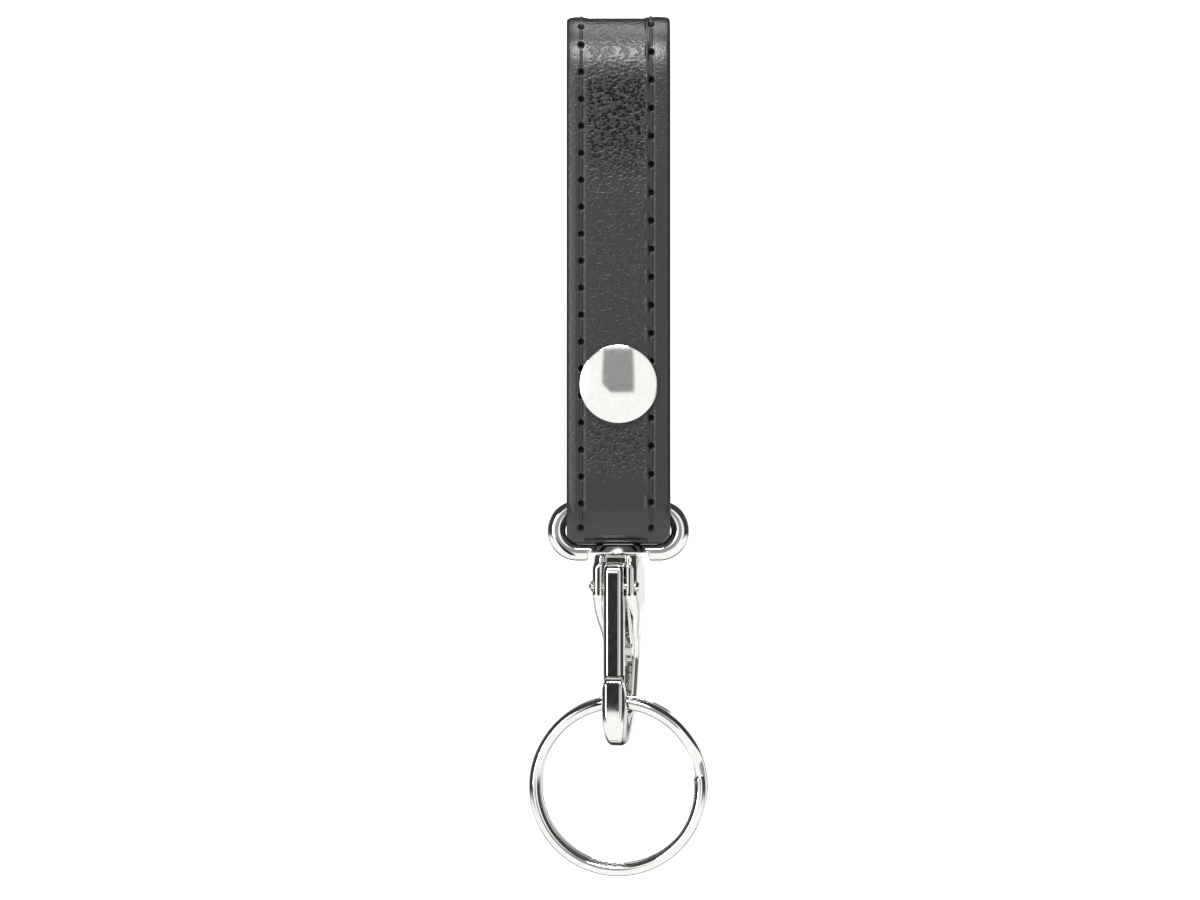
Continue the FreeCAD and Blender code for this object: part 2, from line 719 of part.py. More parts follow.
def snap_barrel():
    body = turned_body("snap_barrel", [
        ("", "cap_wall + barrel_flange"),
        ("flange_radius", "cap_wall + barrel_flange"),
        ("flange_radius", "cap_wall"),
        ("barrel_radius", "cap_wall"),
        ("barrel_radius", "-curl_top"),
        ("curl_radius", "-curl_top"),
        ("curl_radius", "-curl_end"),
        ("barrel_bore", "-curl_end"),
        ("barrel_bore", "cap_wall"),
        ("", "cap_wall"),
    ])
    put_facing_front(body, "-strap_radius", "snap_z")
    return body


def snap_socket():
    body = turned_body("snap_socket", [
        ("barrel_hole", "-stack"),
        ("socket_radius", "-stack"),
        ("socket_radius", "-socket_end"),
        ("mouth_radius", "-socket_end"),
        ("mouth_radius", "-mouth_top"),
        ("socket_inner", "-mouth_top"),
        ("socket_inner", "-curl_top"),
        ("barrel_hole", "-curl_top"),
    ])
    put_facing_front(body, "-strap_radius", "snap_z")
    return body


def snap_grip_ring():
    ring = doc.addObject("Part::Torus", "snap_grip_ring")
    ring.setExpression("Radius1", bound("grip_ring"))
    ring.setExpression("Radius2", bound("grip_radius"))
    ring.setExpression("Angle3", "360 - Sizes.grip_opening")
    put_facing_front(ring, "grip_y", "snap_z")
    return ring


def snap_stud():
    body = turned_body("snap_stud", [
        ("", "stud_tip"),
        ("neck_radius", "stud_tip"),
        ("bead_radius", "bead_top"),
        ("neck_radius", "bead_foot"),
        ("neck_radius", "stud_flange"),
        ("stud_radius", "stud_flange"),
        ("stud_radius", ""),
        ("post_hole", ""),
        ("post_hole", "stud_hollow"),
        ("", "stud_hollow"),
    ])
    put_facing_front(body, "slot_half", "snap_z")
    return body


def snap_post():
    body = turned_body("snap_post", [
        ("post_bore", ""),
        ("post_flange_radius", ""),
        ("post_flange_radius", "post_flange"),
        ("post_radius", "post_flange"),
        ("post_radius", "post_end"),
        ("post_bore", "post_end"),
    ])
    put_facing_front(body, "strap_radius", "snap_z")
    return body


# Swivel loop: a flat-oval wire with a flat boss in its lower bar


def cylinder(name, radius, height, up, back="fold_y"):
    item = doc.addObject("Part::Cylinder", name)
    item.setExpression("Radius", bound(radius))
    item.setExpression("Height", bound(height))
    put(item, "", back, up)
    return item


def loop_bar(name, up):
    bar = cylinder(name, "bar_radius", "loop_bar", up)
    bar.Placement = FreeCAD.Placement(Vector(), FreeCAD.Rotation(Vector(0, 1, 0), 90))
    put(bar, "-loop_bar_half", "fold_y", up)
    return bar


def loop_end(name, across, turn):
    end = doc.addObject("Part::Torus", name)
    end.setExpression("Radius1", bound("loop_arc"))
    end.setExpression("Radius2", bound("bar_radius"))
    end.Angle3 = 180
    upright = FreeCAD.Rotation(Vector(1, 0, 0), 90)
    end.Placement = FreeCAD.Placement(Vector(), FreeCAD.Rotation(Vector(0, 1, 0), turn) * upright)
    put(end, across, "fold_y", "loop_mid_z")
    return end


def swivel_loop():
    wire = doc.addObject("Part::MultiFuse", "loop_oval")
    wire.Shapes = [
        loop_bar("loop_upper_bar", "fold_z"),
        loop_bar("loop_lower_bar", "loop_low_z"),
        loop_end("loop_right_end", "loop_bar_half", 90),
        loop_end("loop_left_end", "-loop_bar_half", -90),
    ]
    relief = cylinder("loop_relief", "relief_radius", "loop_wire", "relief_z")
    open_wire = doc.addObject("Part::Cut", "loop_open_wire")
    open_wire.Base = wire
    open_wire.Tool = relief
    boss = cylinder("loop_boss", "boss_radius", "boss_thickness", "boss_z")
    whole = doc.addObject("Part::MultiFuse", "loop_with_boss")
    whole.Shapes = [open_wire, boss]
    bore = cylinder("loop_bore", "rivet_hole", "boss_thickness", "boss_z")
    sink = doc.addObject("Part::Cone", "loop_sink")
    sink.setExpression("Radius1", bound("rivet_hole"))
    sink.setExpression("Radius2", bound("rivet_seat"))
    sink.setExpression("Height", bound("rivet_head_height"))
    put(sink, "", "fold_y", "sink_z")
    holes = doc.addObject("Part::MultiFuse", "loop_holes")
    holes.Shapes = [bore, sink]
    loop = doc.addObject("Part::Cut", "swivel_loop")
    loop.Base = whole
    loop.Tool = holes
    doc.recompute()
    return loop


def swivel_rivet():
    body = turned_body("swivel_rivet", [
        ("", "rivet_top"),
        ("rivet_head_radius", "rivet_top"),
        ("rivet_radius", "rivet_shoulder"),
        ("rivet_radius", "-rivet_depth"),
        ("", "-rivet_depth"),
    ])
    put_in_hook(body)
    return body


# Hook body: head with two ears, spine, bowl and nose


def hook_body():
    body = new_body("hook_body")
    side = new_sketch(body, "YZ_Plane")
    draw(side, [
        ("-head_front", ""),
        ("-head_front", "-head_height"),
        ("-eye_half", "-eye_top"),
        ("eye_side", "-eye_top", "eye_corner", "right"),
        ("eye_half", "-eye_turn"),
        ("eye_half", "-saddle_centre", "eye_half", "right"),
        ("", "-saddle_drop", "eye_half", "right"),
        ("-eye_half", "-saddle_centre"),
        ("-eye_half", "-catch_z"),
        ("-tip_back", "-catch_z"),
        ("-tip_back", "-nose_drop"),
        ("-tip_front", "-nose_drop"),
        ("-hook_outer", "-nose_shoulder"),
        ("-hook_outer", "-bowl_centre", "hook_outer", "left"),
        ("", "-bowl_bottom", "hook_outer", "left"),
        ("hook_outer", "-bowl_centre"),
        ("hook_outer", ""),
    ])
    pad(body, side, "hook_width", symmetric=True)
    round_edges(body, "ear_round", on_ear_outside)
    taper_hook(body)
    round_edges(body, "eye_round", on_saddle)
    round_edges(body, "edge_round", on_bowl)
    point_nose(body)
    cut_gate_slot(body)
    round_edges(body, "edge_round", on_ear_inside)
    cut_neck(body)
    cut_pin_hole(body)
    shaft = new_sketch(body, "XY_Plane")
    draw_circle(shaft, "", "", "rivet_radius")
    pocket(body, shaft, "rivet_depth")
    put_in_hook(body)
    return body


def taper_hook(body):
    """Narrow the hook from the ears down to the nose, seen from the front, in one smooth sweep."""
    sketch = new_sketch(body, "XZ_Plane")
    for side, inward, outward in (("", "right", "left"), ("-", "left", "right")):
        draw(sketch, [
            (side + "hook_half", "-flank_start", "flank_crest", inward),
            (side + "flank_half", "-flank_middle", "flank_hollow", outward),
            (side + "nose_half", "-flank_end"),
            (side + "nose_half", "-bowl_bottom - hook_wall"),
            (side + "hook_clear", "-bowl_bottom - hook_wall"),
            (side + "hook_clear", "-flank_start"),
        ])
    pocket(body, sketch, symmetric=True)


def point_nose(body):
    """Bevel both corners of the nose's point."""
    sketch = new_sketch(body, "XZ_Plane")
    for side in ("", "-"):
        draw(sketch, [
            (side + "point_half", "-nose_drop"),
            (side + "point_half", "-nose_drop + nose_bevel"),
            (side + "hook_clear", "-nose_drop + nose_bevel"),
            (side + "hook_clear", "-nose_shoulder"),
            (side + "nose_half", "-nose_shoulder"),
        ])
    pocket(body, sketch, flip=True)


def passes(edge, across, back, up):
    """Whether an edge goes through a point, given by its distances from the hook's own planes."""
    point = Part.Vertex(Vector(across, back, up))
    return edge.distToShape(point)[0] < TOUCH


def passes_twice(edge, across, back, up):
    """The same on either side of the hook."""
    return passes(edge, across, back, up) or passes(edge, -across, back, up)


def on_saddle(edge):
    """Edges of the eye at the bottom of the bowl, where the ring bears."""
    return passes_twice(edge, number("nose_half"), 0, -number("saddle_drop"))


def on_bowl(edge):
    """Outer edges at the bottom of the bowl."""
    return passes_twice(edge, number("nose_half"), 0, -number("bowl_bottom"))


def on_ear_outside(edge):
    """Upright outer edges at the front of the two ears."""
    return passes_twice(edge, number("hook_half"), -number("head_front"), -number("pin_drop"))


def on_ear_inside(edge):
    """Upright edges at the front of the ears, beside the gate."""
    return passes_twice(edge, number("slot_wide_half"), -number("head_front"), -number("pin_drop"))


def cut_neck(body):
    """Turn the top of the head down to a round neck that clears the ends of the loop's bar."""
    sketch = new_sketch(body, "XY_Plane")
    draw_circle(sketch, "", "", "hook_half")
    draw_box(sketch, "-hook_clear", "hook_clear", "-hook_clear", "hook_clear")
    pocket(body, sketch, "neck_height")


def cut_gate_slot(body):
    sketch = new_sketch(body, "XY_Plane")
    draw_box(sketch, "-slot_wide_half", "slot_wide_half", "-hook_clear", "-slot_back")
    pocket(body, sketch, "eye_turn")


def cut_pin_hole(body):
    sketch = new_sketch(body, "YZ_Plane")
    draw_circle(sketch, "-pin_y", "-pin_drop", "pin_hole")
    pocket(body, sketch, symmetric=True)


# Gate, its pin and its spring


def gate():
    body = new_body("gate")
    side = new_sketch(body, "YZ_Plane")
    draw(side, [
        ("-gate_crown", "-gate_top", "gate_dome", "left"),
        ("-gate_front", "-gate_neck"),
        ("-gate_front", "-gate_end"),
        ("-tongue_front", "-gate_end"),
        ("-tongue_front", "-tongue_end"),
        ("-gate_back", "-tongue_end"),
        ("-gate_back", "-lug_low", "gate_lug", "left"),
        ("-gate_back", "-lug_high"),
        ("-gate_back", "-gate_top - gate_bevel"),
    ])
    pad(body, side, "gate_width", symmetric=True)
    round_edges(body, "gate_edge", on_gate_front)
    channel = new_sketch(body, "YZ_Plane")
    draw_box(channel, "-channel_front", "", "-channel_end", "-gate_neck")
    pocket(body, channel, "channel", symmetric=True)
    cut_pin_hole(body)
    put_in_hook(body)
    return body


def on_gate_front(edge):
    """Upright edges at the front of the gate."""
    return passes_twice(edge, number("gate_half"), -number("gate_front"), -number("eye_top"))


def gate_pin():
    body = new_body("gate_pin")
    sketch = new_sketch(body, "XY_Plane")
    sketch.setExpression("AttachmentOffset.Base.y", bound("-pin_y"))
    sketch.setExpression("AttachmentOffset.Base.z", bound("-pin_drop"))
    draw(sketch, [
        ("-pin_end", ""),
        ("-pin_end", "pin_radius"),
        ("-hook_half", "pin_head_radius"),
        ("-hook_half", "pin_radius"),
        ("hook_half", "pin_radius"),
        ("hook_half", "pin_head_radius"),
        ("pin_end", "pin_radius"),
        ("pin_end", ""),
    ])
    revolve(body, sketch, "H_Axis")
    put_in_hook(body)
    return body


def arc_edge(start, heading, end):
    """The arc that leaves start along heading and reaches end."""
    chord = end - start
    along = Vector(chord).normalize()
    aside = heading - along * heading.dot(along)
    if aside.Length < TOUCH:
        return Part.LineSegment(start, end).toShape()
    half_turn = math.atan2(aside.Length, heading.dot(along))
    rise = chord.Length / 2 * math.tan(half_turn / 2)
    return Part.Arc(start, start + chord * 0.5 + aside.normalize() * rise, end).toShape()


def biarc(start, heading, end, leaving):
    """Two arcs that join two points smoothly along the given headings."""
    span = end - start
    both = heading + leaving
    bend_share = 2 * (1 - heading.dot(leaving))
    reach = span.dot(both)
    step = (math.sqrt(reach ** 2 + bend_share * span.dot(span)) - reach) / bend_share
    middle = (start + end + (heading - leaving) * step) * 0.5
    turned = (middle - start - heading * step).normalize()
    return [arc_edge(start, heading, middle), arc_edge(middle, turned, end)]


def least_turn_gap(wire, thickness, apart):
    """Least clear distance between stretches of a wound wire that lie further apart along it."""
    count = int(wire.Length / thickness) * 2
    points = wire.discretize(count)
    skip = int(count * apart / wire.Length)
    nearest = min(a.distanceToPoint(b) for i, a in enumerate(points) for b in points[i + skip:])
    return nearest - thickness


def wound(label, section, path):
    """One unbroken wire along a path of arcs and straight legs."""
    wire = Part.Wire(path)
    shape = wire.makePipeShell([section], True, False)
    expected = Part.Face(section).Area * wire.Length
    if abs(shape.Volume / expected - 1) > FILL_TOLERANCE:
        raise RuntimeError(label + " doesn't fill its section along its path")
    item = doc.addObject("Part::Feature", label)
    item.Shape = shape
    return item, wire


def gate_spring():
    """Coil round the pin with one leg down inside the gate and one down against the head."""
    radius = number("coil_radius")
    pitch = number("spring_pitch")
    turns = round(number("spring_turns")) + 0.5
    quarters = round(4 * turns)

    def on_coil(step):
        angle = step * math.pi / 2
        return Vector(
            pitch * (step / 4 - turns / 2),
            -radius * math.cos(angle) - number("pin_y"),
            radius * math.sin(angle) - number("pin_drop"),
        )

    def heading(step):
        angle = step * math.pi / 2
        rise = pitch / (2 * math.pi) if 0 < step < quarters else 0
        return Vector(rise, radius * math.sin(angle), radius * math.cos(angle)).normalize()

    foot = on_coil(0) - heading(0) * number("spring_leg")
    heel = on_coil(quarters) + heading(quarters) * number("spring_leg")
    path = [Part.LineSegment(foot, on_coil(0)).toShape()]
    for step in range(quarters):
        path += biarc(on_coil(step), heading(step), on_coil(step + 1), heading(step + 1))
    path.append(Part.LineSegment(on_coil(quarters), heel).toShape())
    circle = Part.Circle(foot, heading(0), number("spring_wire") / 2)
    item, wire = wound("gate_spring", Part.Wire(circle.toShape()), path)
    gap = least_turn_gap(wire, number("spring_wire"), math.pi * radius)
    print("gate_spring: least gap between turns", round(gap, 3), "mm")
    put_in_hook(item)
    return item


def split_ring():
    """Two flat turns of strip, side by side, with one step from the back turn to the front turn."""
    radius = number("ring_radius")
    back = number("ring_pitch") / 2
    step = math.radians(number("ring_step"))
    mouth = math.radians(number("ring_mouth"))
    split = math.radians(number("ring_split"))

    def on_ring(angle, depth):
        return Vector(radius * math.cos(split + angle), depth, radius * math.sin(split + angle))

    def heading(angle):
        return Vector(-math.sin(split + angle), 0, math.cos(split + angle))

    def flat_turn(first, last, depth):
        ends = [first + (last - first) * part / 4 for part in range(5)]
        return [
            arc_edge(on_ring(start, depth), heading(start), on_ring(end, depth))
            for start, end in zip(ends, ends[1:])
        ]

    full = 2 * math.pi
    path = flat_turn(mouth, full - step, back)
    path += biarc(on_ring(full - step, back), heading(full - step), on_ring(full, -back), heading(full))
    path += flat_turn(full, 2 * full - step - mouth, -back)
    start = on_ring(mouth, back)
    outward = on_ring(mouth, 0).normalize()
    section = strip_section(start, outward, Vector(0, 1, 0))
    item, wire = wound("split_ring", section, path)
    gap = least_turn_gap(wire, number("ring_strip"), math.pi * radius)
    print("split_ring: least gap between turns", round(gap, 3), "mm")
    item.Placement = FreeCAD.Placement(Vector(), FreeCAD.Rotation(Vector(0, 0, -1), 1))
    item.setExpression("Placement.Rotation.Angle", bound("ring_turn"))
    put(item, "", "fold_y", "ring_z")
    return item


def strip_section(centre, outward, aside):
    """Section of the ring's strip: flat sides and half-round edges."""
    thick = number("ring_strip") / 2
    reach = number("ring_width") / 2 - thick
    corners = [
        centre + outward * (reach * along) + aside * (thick * across)
        for along, across in ((-1, -1), (1, -1), (1, 1), (-1, 1))
    ]
    outer = Part.Arc(corners[1], centre + outward * (reach + thick), corners[2])
    inner = Part.Arc(corners[3], centre - outward * (reach + thick), corners[0])
    sides = (Part.LineSegment(corners[0], corners[1]), Part.LineSegment(corners[2], corners[3]))
    return Part.Wire([sides[0].toShape(), outer.toShape(), sides[1].toShape(), inner.toShape()])


PIECES = [
    front_outer(),
    front_lining(),
    bend_outer(),
    bend_lining(),
    rear_outer(),
    rear_lining(),
    straight_stitches("stitching_front", "groove_floor", "front_stitches", "front_run"),
    straight_stitches("stitching_rear", "-thread_top", "rear_stitches", "rear_run"),
    bend_stitches(),
    snap_cap(),
    snap_barrel(),
    snap_socket(),
    snap_grip_ring(),
    snap_stud(),
    snap_post(),
    swivel_loop(),
    swivel_rivet(),
    hook_body(),
    gate(),
    gate_pin(),
    gate_spring(),
    split_ring(),
]
doc.recompute()

for item in doc.Objects:
    if "Invalid" in item.State or "Error" in item.State:
        raise RuntimeError(item.Label + " failed: " + item.getStatusString())
for piece in PIECES:
    if piece.Shape.isNull() or not piece.Shape.isValid():
        raise RuntimeError(piece.Label + " has no sound shape")

os.makedirs("parts", exist_ok=True)
for piece in PIECES:
    piece.Shape.exportStep(f"parts/{piece.Label}.step")
    print(piece.Label, "solids", len(piece.Shape.Solids), "volume", round(piece.Shape.Volume, 1))
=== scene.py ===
import math

import bmesh
import bpy
import numpy as np
from mathutils import Matrix, Vector

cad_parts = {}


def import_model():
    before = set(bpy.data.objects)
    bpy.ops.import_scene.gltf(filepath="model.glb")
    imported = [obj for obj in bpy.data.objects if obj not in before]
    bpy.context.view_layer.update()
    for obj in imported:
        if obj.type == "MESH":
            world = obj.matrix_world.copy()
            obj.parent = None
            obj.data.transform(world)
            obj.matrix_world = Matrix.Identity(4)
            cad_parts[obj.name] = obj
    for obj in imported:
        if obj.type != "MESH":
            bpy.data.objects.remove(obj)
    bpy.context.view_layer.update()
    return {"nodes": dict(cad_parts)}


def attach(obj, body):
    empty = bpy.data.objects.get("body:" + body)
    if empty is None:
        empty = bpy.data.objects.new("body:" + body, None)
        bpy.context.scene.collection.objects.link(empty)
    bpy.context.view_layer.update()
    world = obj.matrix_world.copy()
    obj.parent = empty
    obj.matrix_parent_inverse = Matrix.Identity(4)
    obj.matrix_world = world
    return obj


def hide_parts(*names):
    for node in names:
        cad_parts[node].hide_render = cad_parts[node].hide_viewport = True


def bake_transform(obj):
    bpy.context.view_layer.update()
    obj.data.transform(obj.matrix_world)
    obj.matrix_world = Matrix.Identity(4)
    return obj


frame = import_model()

nodes = frame["nodes"]

# Sizes of the strap, in metres
MM = 0.001
HALF_WIDTH = 10 * MM
OUTER_THICK = 2.2 * MM
LINING_THICK = 1.9 * MM
GLUE_REACH = 5.0 * MM
BEND_Z = 25.4 * MM
REAR_Z = -48.5 * MM
REAR_CORNER = 7 * MM
FOLD_Y = -0.6 * MM
FOLD_Z = -63 * MM
FOLD_GLUE = 4.4 * MM
TAIL_WRAP = math.radians(60)
TAIL_GLUE_Y = -3.1 * MM
TAIL_TOP = -30.5 * MM
WRAP_REACH = (FOLD_Y + FOLD_GLUE - TAIL_GLUE_Y) / (1 - math.cos(TAIL_WRAP))
TURN_Z = FOLD_Z + WRAP_REACH * math.sin(TAIL_WRAP)
TURN_Y = FOLD_Y + WRAP_REACH * math.cos(TAIL_WRAP)
TURN_RADIUS = WRAP_REACH - FOLD_GLUE

# Sizes of the strap's edges, and of the fold where the loop's ends pass
EDGE_ROUND = 0.75 * MM
BACK_BEVEL_UP = 0.15 * MM
BACK_BEVEL_IN = 0.2 * MM
LINING_CORNER = 0.3 * MM
LINING_BEVEL = 0.1 * MM
FOLD_OUTSIDE = 2 * MM
FOLD_INSIDE = 1 * MM
LOOP_STRAIGHT = 7.95 * MM
LOOP_INSIDE = 2.5 * MM
LOOP_MIDDLE = 4.25 * MM

# Sizes of the leather's swells and hollows
LEFT_ROLL = 0.42 * MM
RIGHT_ROLL = 0.2 * MM
BEND_SAG = 0.35 * MM
SAG_REACH = 6 * MM
ARCH_FOOT = 18 * MM
GLUE_LEAN = 0.5
CREASE_DEPTH = 1.1 * MM
CREASE_HALF = 0.34 * MM
CREASE_DROP = 5.85 * MM
CREASE_GAP = 0.6 * MM
CREASE_FULL = 1.2 * MM
FOLD_SWELL = 0.27 * MM
SWELL_START = 2 * MM
SWELL_FULL = 5 * MM

# Sizes of the dimple round the eyelet at the rear
SNAP_Z = -38.9 * MM
FLANGE_RADIUS = 5.1 * MM
SEAT_SLOPE = 1.3 * MM
SEAT_DEPTH = 0.28 * MM
BORE_RADIUS = 2.0 * MM
BORE_DEPTH = 1.6 * MM

# Sizes of the stitching: place across and pitch of each row
ROWS = ((-7.2 * MM, 5.19 * MM), (6.3 * MM, 5.42 * MM))
LAST_HOLE_Z = -66.8 * MM
GROOVE_DEPTH = 0.12 * MM
GROOVE_HALF = 0.75 * MM
HOLE_DEPTH = 1.6 * MM
HOLE_HALF_WIDE = 0.42 * MM
HOLE_HALF_LONG = 0.52 * MM
LIP_HEIGHT = 0.26 * MM
LIP_ASIDE = 0.8 * MM
LIP_HALF_WIDE = 0.3 * MM
LIP_HALF_LONG = 1.3 * MM
ROWS_START = 3 * MM
ROWS_FULL = 6 * MM
ROW_FADE = 1.5 * MM
STITCH_INSET = 0.1 * MM
THREAD_RADIUS = 0.33 * MM
THREAD_FLATTEN = 0.75
THREAD_SINK = 0.1
THREAD_PLY = 0.08
THREAD_DIP = 1.7 * MM
THREAD_BEND = 0.95 * MM
THREAD_TWIST = 0.55

# Spacing of the points along each run of the strap, and across it
OUTER_SPACING = {
    "rear": 0.35 * MM,
    "bend": 0.12 * MM,
    "front": 0.24 * MM,
    "fold": 0.12 * MM,
    "tail": 0.5 * MM,
}
LINING_SPACING = {"rear": 0.7 * MM, "bend": 0.2 * MM, "front": 0.5 * MM, "fold": 0.3 * MM}
ACROSS_COLUMNS = 44
ROW_COLUMNS = 17
ROW_REACH = 1.25 * MM
CLOSEST_COLUMNS = 0.1 * MM
EDGE_STEPS = 6
THREAD_SIDES = 10
THREAD_STEPS = 26

# Edges that turn more than this stay sharp in the shading
LEATHER_SHARP = math.radians(70)
SHARP = math.radians(32)

# Where the grain shows on the front run, down from its top: start, full, ebb and end of each band
UPPER_GRAIN = (-1 * MM, 8 * MM, 14 * MM, 36 * MM)
LOWER_GRAIN = (68 * MM, 73 * MM, 78 * MM, 87 * MM)
EVEN_GRAIN_EBB = 80 * MM
EVEN_GRAIN_END = 88 * MM
LOWER_STRENGTH = 0.6
EVEN_STRENGTH = 0.28
GRAIN_BESIDE = 0.25
GRAIN_INSET = 0.3 * MM
GRAIN_FULL = 2 * MM


# Strap path: the glue surface between the leathers, from the rear end up, over, down and round to the tail


def arc(centre_y, centre_z, radius, start, end):
    """A stretch of path round a centre, with its length; a negative radius has the leather inside."""
    length = abs(radius * (end - start))

    def at(share):
        angle = start + (end - start) * share
        side = math.copysign(1, radius)
        away_y = math.cos(angle)
        away_z = math.sin(angle)
        return (
            centre_y + abs(radius) * away_y,
            centre_z + abs(radius) * away_z,
            side * away_y,
            side * away_z,
        )

    return length, at


def line(y, z_start, z_end, outward):
    """A straight upright stretch of path, with its length."""

    def at(share):
        return (y, z_start + (z_end - z_start) * share, outward, 0)

    return abs(z_end - z_start), at


PATH = {
    "rear": line(GLUE_REACH, REAR_Z, BEND_Z, 1),
    "bend": arc(0, BEND_Z, GLUE_REACH, 0, math.pi),
    "front": line(-GLUE_REACH, BEND_Z, FOLD_Z, -1),
    "fold": arc(FOLD_Y, FOLD_Z, FOLD_GLUE, math.pi, 2 * math.pi + TAIL_WRAP),
    "turn": arc(TURN_Y, TURN_Z, -TURN_RADIUS, math.pi + TAIL_WRAP, math.pi),
    "tail": line(TAIL_GLUE_Y, TURN_Z, TAIL_TOP, 1),
}


def path_starts():
    starts = {}
    reached = 0
    for name, (length, at) in PATH.items():
        starts[name] = reached
        reached += length
    return starts, reached


STARTS, PATH_LENGTH = path_starts()
FOLD_START = STARTS["fold"]
FOLD_END = FOLD_START + math.pi * FOLD_GLUE


def on_path(along):
    """Place and outward direction on the glue surface, at a distance along the path."""
    for name, (length, at) in PATH.items():
        share = (along - STARTS[name]) / length
        if share <= 1:
            break
    return at(min(max(share, 0), 1))


def smooth(value, low, high):
    """A soft step from zero to one between two values."""
    share = np.clip((value - low) / (high - low), 0, 1)
    return share * share * (3 - 2 * share)


def band(value, start, full, ebb, end):
    """One from full to ebb, fading out to zero at the start and the end."""
    return smooth(value, start, full) * (1 - smooth(value, ebb, end))


# Stitch holes, counted from the last one in the fold


def hole_places(pitch):
    """Distances along the path of one row's needle holes, an even pitch apart on the outer face."""
    reach = FOLD_GLUE + OUTER_THICK
    last = FOLD_START + FOLD_GLUE * math.asin((FOLD_Z - LAST_HOLE_Z) / reach)
    outer_bend = GLUE_REACH + OUTER_THICK
    places = [last]
    place = FOLD_START + reach * math.asin((FOLD_Z - LAST_HOLE_Z) / reach) - pitch
    while place > REAR_CORNER:
        places.append(place)
        if STARTS["bend"] < place <= STARTS["front"]:
            place -= pitch * GLUE_REACH / outer_bend
        else:
            place -= pitch
    return sorted(places)


HOLES = {row: hole_places(pitch) for row, pitch in ROWS}
LEFT_ROW, RIGHT_ROW = HOLES
LAST_HOLE = HOLES[LEFT_ROW][-1]


# Meshes


def make_mesh(name, points, faces, smooth_shading=True):
    mesh = bpy.data.meshes.new(name)
    mesh.from_pydata([tuple(p) for p in points], [], faces)
    shape = bmesh.new()
    shape.from_mesh(mesh)
    bmesh.ops.recalc_face_normals(shape, faces=shape.faces)
    shape.to_mesh(mesh)
    shape.free()
    if smooth_shading:
        mesh.shade_smooth()
    piece = bpy.data.objects.new(name, mesh)
    bpy.context.scene.collection.objects.link(piece)
    return piece


def grid_faces(rows, columns, first=0):
    """Faces of a closed tube of rows, each of as many points as there are columns."""
    faces = []
    for row in range(rows - 1):
        base = first + row * columns
        for column in range(columns):
            after = (column + 1) % columns
            faces.append((base + column, base + after, base + columns + after, base + columns + column))
    return faces


def end_faces(rows, columns, first=0):
    low = [first + column for column in range(columns)]
    high = [first + (rows - 1) * columns + column for column in range(columns)]
    return [tuple(low), tuple(reversed(high))]


def steps(start, end, spacing):
    count = max(2, math.ceil((end - start) / spacing) + 1)
    return np.linspace(start, end, count)


def width_at(along):
    """Half the strap's width: full, but rounded off at the rear end."""
    inward = max(REAR_CORNER - along, 0)
    return HALF_WIDTH - REAR_CORNER + math.sqrt(max(REAR_CORNER ** 2 - inward ** 2, 0))


def across_columns():
    """Positions across the outer face, from one edge's rounding to the other, closer at the stitch rows."""
    flat = HALF_WIDTH - EDGE_ROUND
    places = list(np.linspace(-flat, flat, ACROSS_COLUMNS))
    for row, pitch in ROWS:
        places += list(row + np.linspace(-ROW_REACH, ROW_REACH, ROW_COLUMNS))
    places = sorted(p for p in places if abs(p) <= flat)
    kept = [places[0]]
    for place in places[1:]:
        if place - kept[-1] > CLOSEST_COLUMNS:
            kept.append(place)
    return kept


def outer_section(along):
    """The outer leather's closed outline at one place: pairs of distance across and height over the glue."""
    half = width_at(along)
    fold_share = smooth(along, FOLD_START - FOLD_OUTSIDE, FOLD_START + FOLD_INSIDE)
    fold_share = fold_share * (1 - smooth(along, FOLD_END - FOLD_INSIDE, FOLD_END + FOLD_OUTSIDE))
    shrink = half / HALF_WIDTH
    top = [(place * shrink, OUTER_THICK) for place in across_columns()]
    corner = []
    for step in range(1, EDGE_STEPS + 1):
        share = step / EDGE_STEPS
        angle = share * math.pi / 2
        plain_u = half - EDGE_ROUND + EDGE_ROUND * math.sin(angle)
        plain_n = OUTER_THICK - EDGE_ROUND + EDGE_ROUND * math.cos(angle)
        reach = math.asin((HALF_WIDTH - LOOP_STRAIGHT) / LOOP_INSIDE) * share
        fold_u = LOOP_STRAIGHT + LOOP_INSIDE * math.sin(reach)
        fold_n = LOOP_MIDDLE - FOLD_GLUE + LOOP_INSIDE * math.cos(reach)
        corner.append((
            plain_u + (fold_u - plain_u) * fold_share,
            plain_n + (fold_n - plain_n) * fold_share,
        ))
    flat_half = HALF_WIDTH - EDGE_ROUND
    narrow = (LOOP_STRAIGHT / flat_half - 1) * fold_share + 1
    top = [(u * narrow, n) for u, n in top]
    inner = half - BACK_BEVEL_IN
    bottom = [(half, BACK_BEVEL_UP), (inner, 0), (0, 0), (-inner, 0), (-half, BACK_BEVEL_UP)]
    left = [(-u, n) for u, n in reversed(corner)]
    return np.array(top + corner + bottom + left)


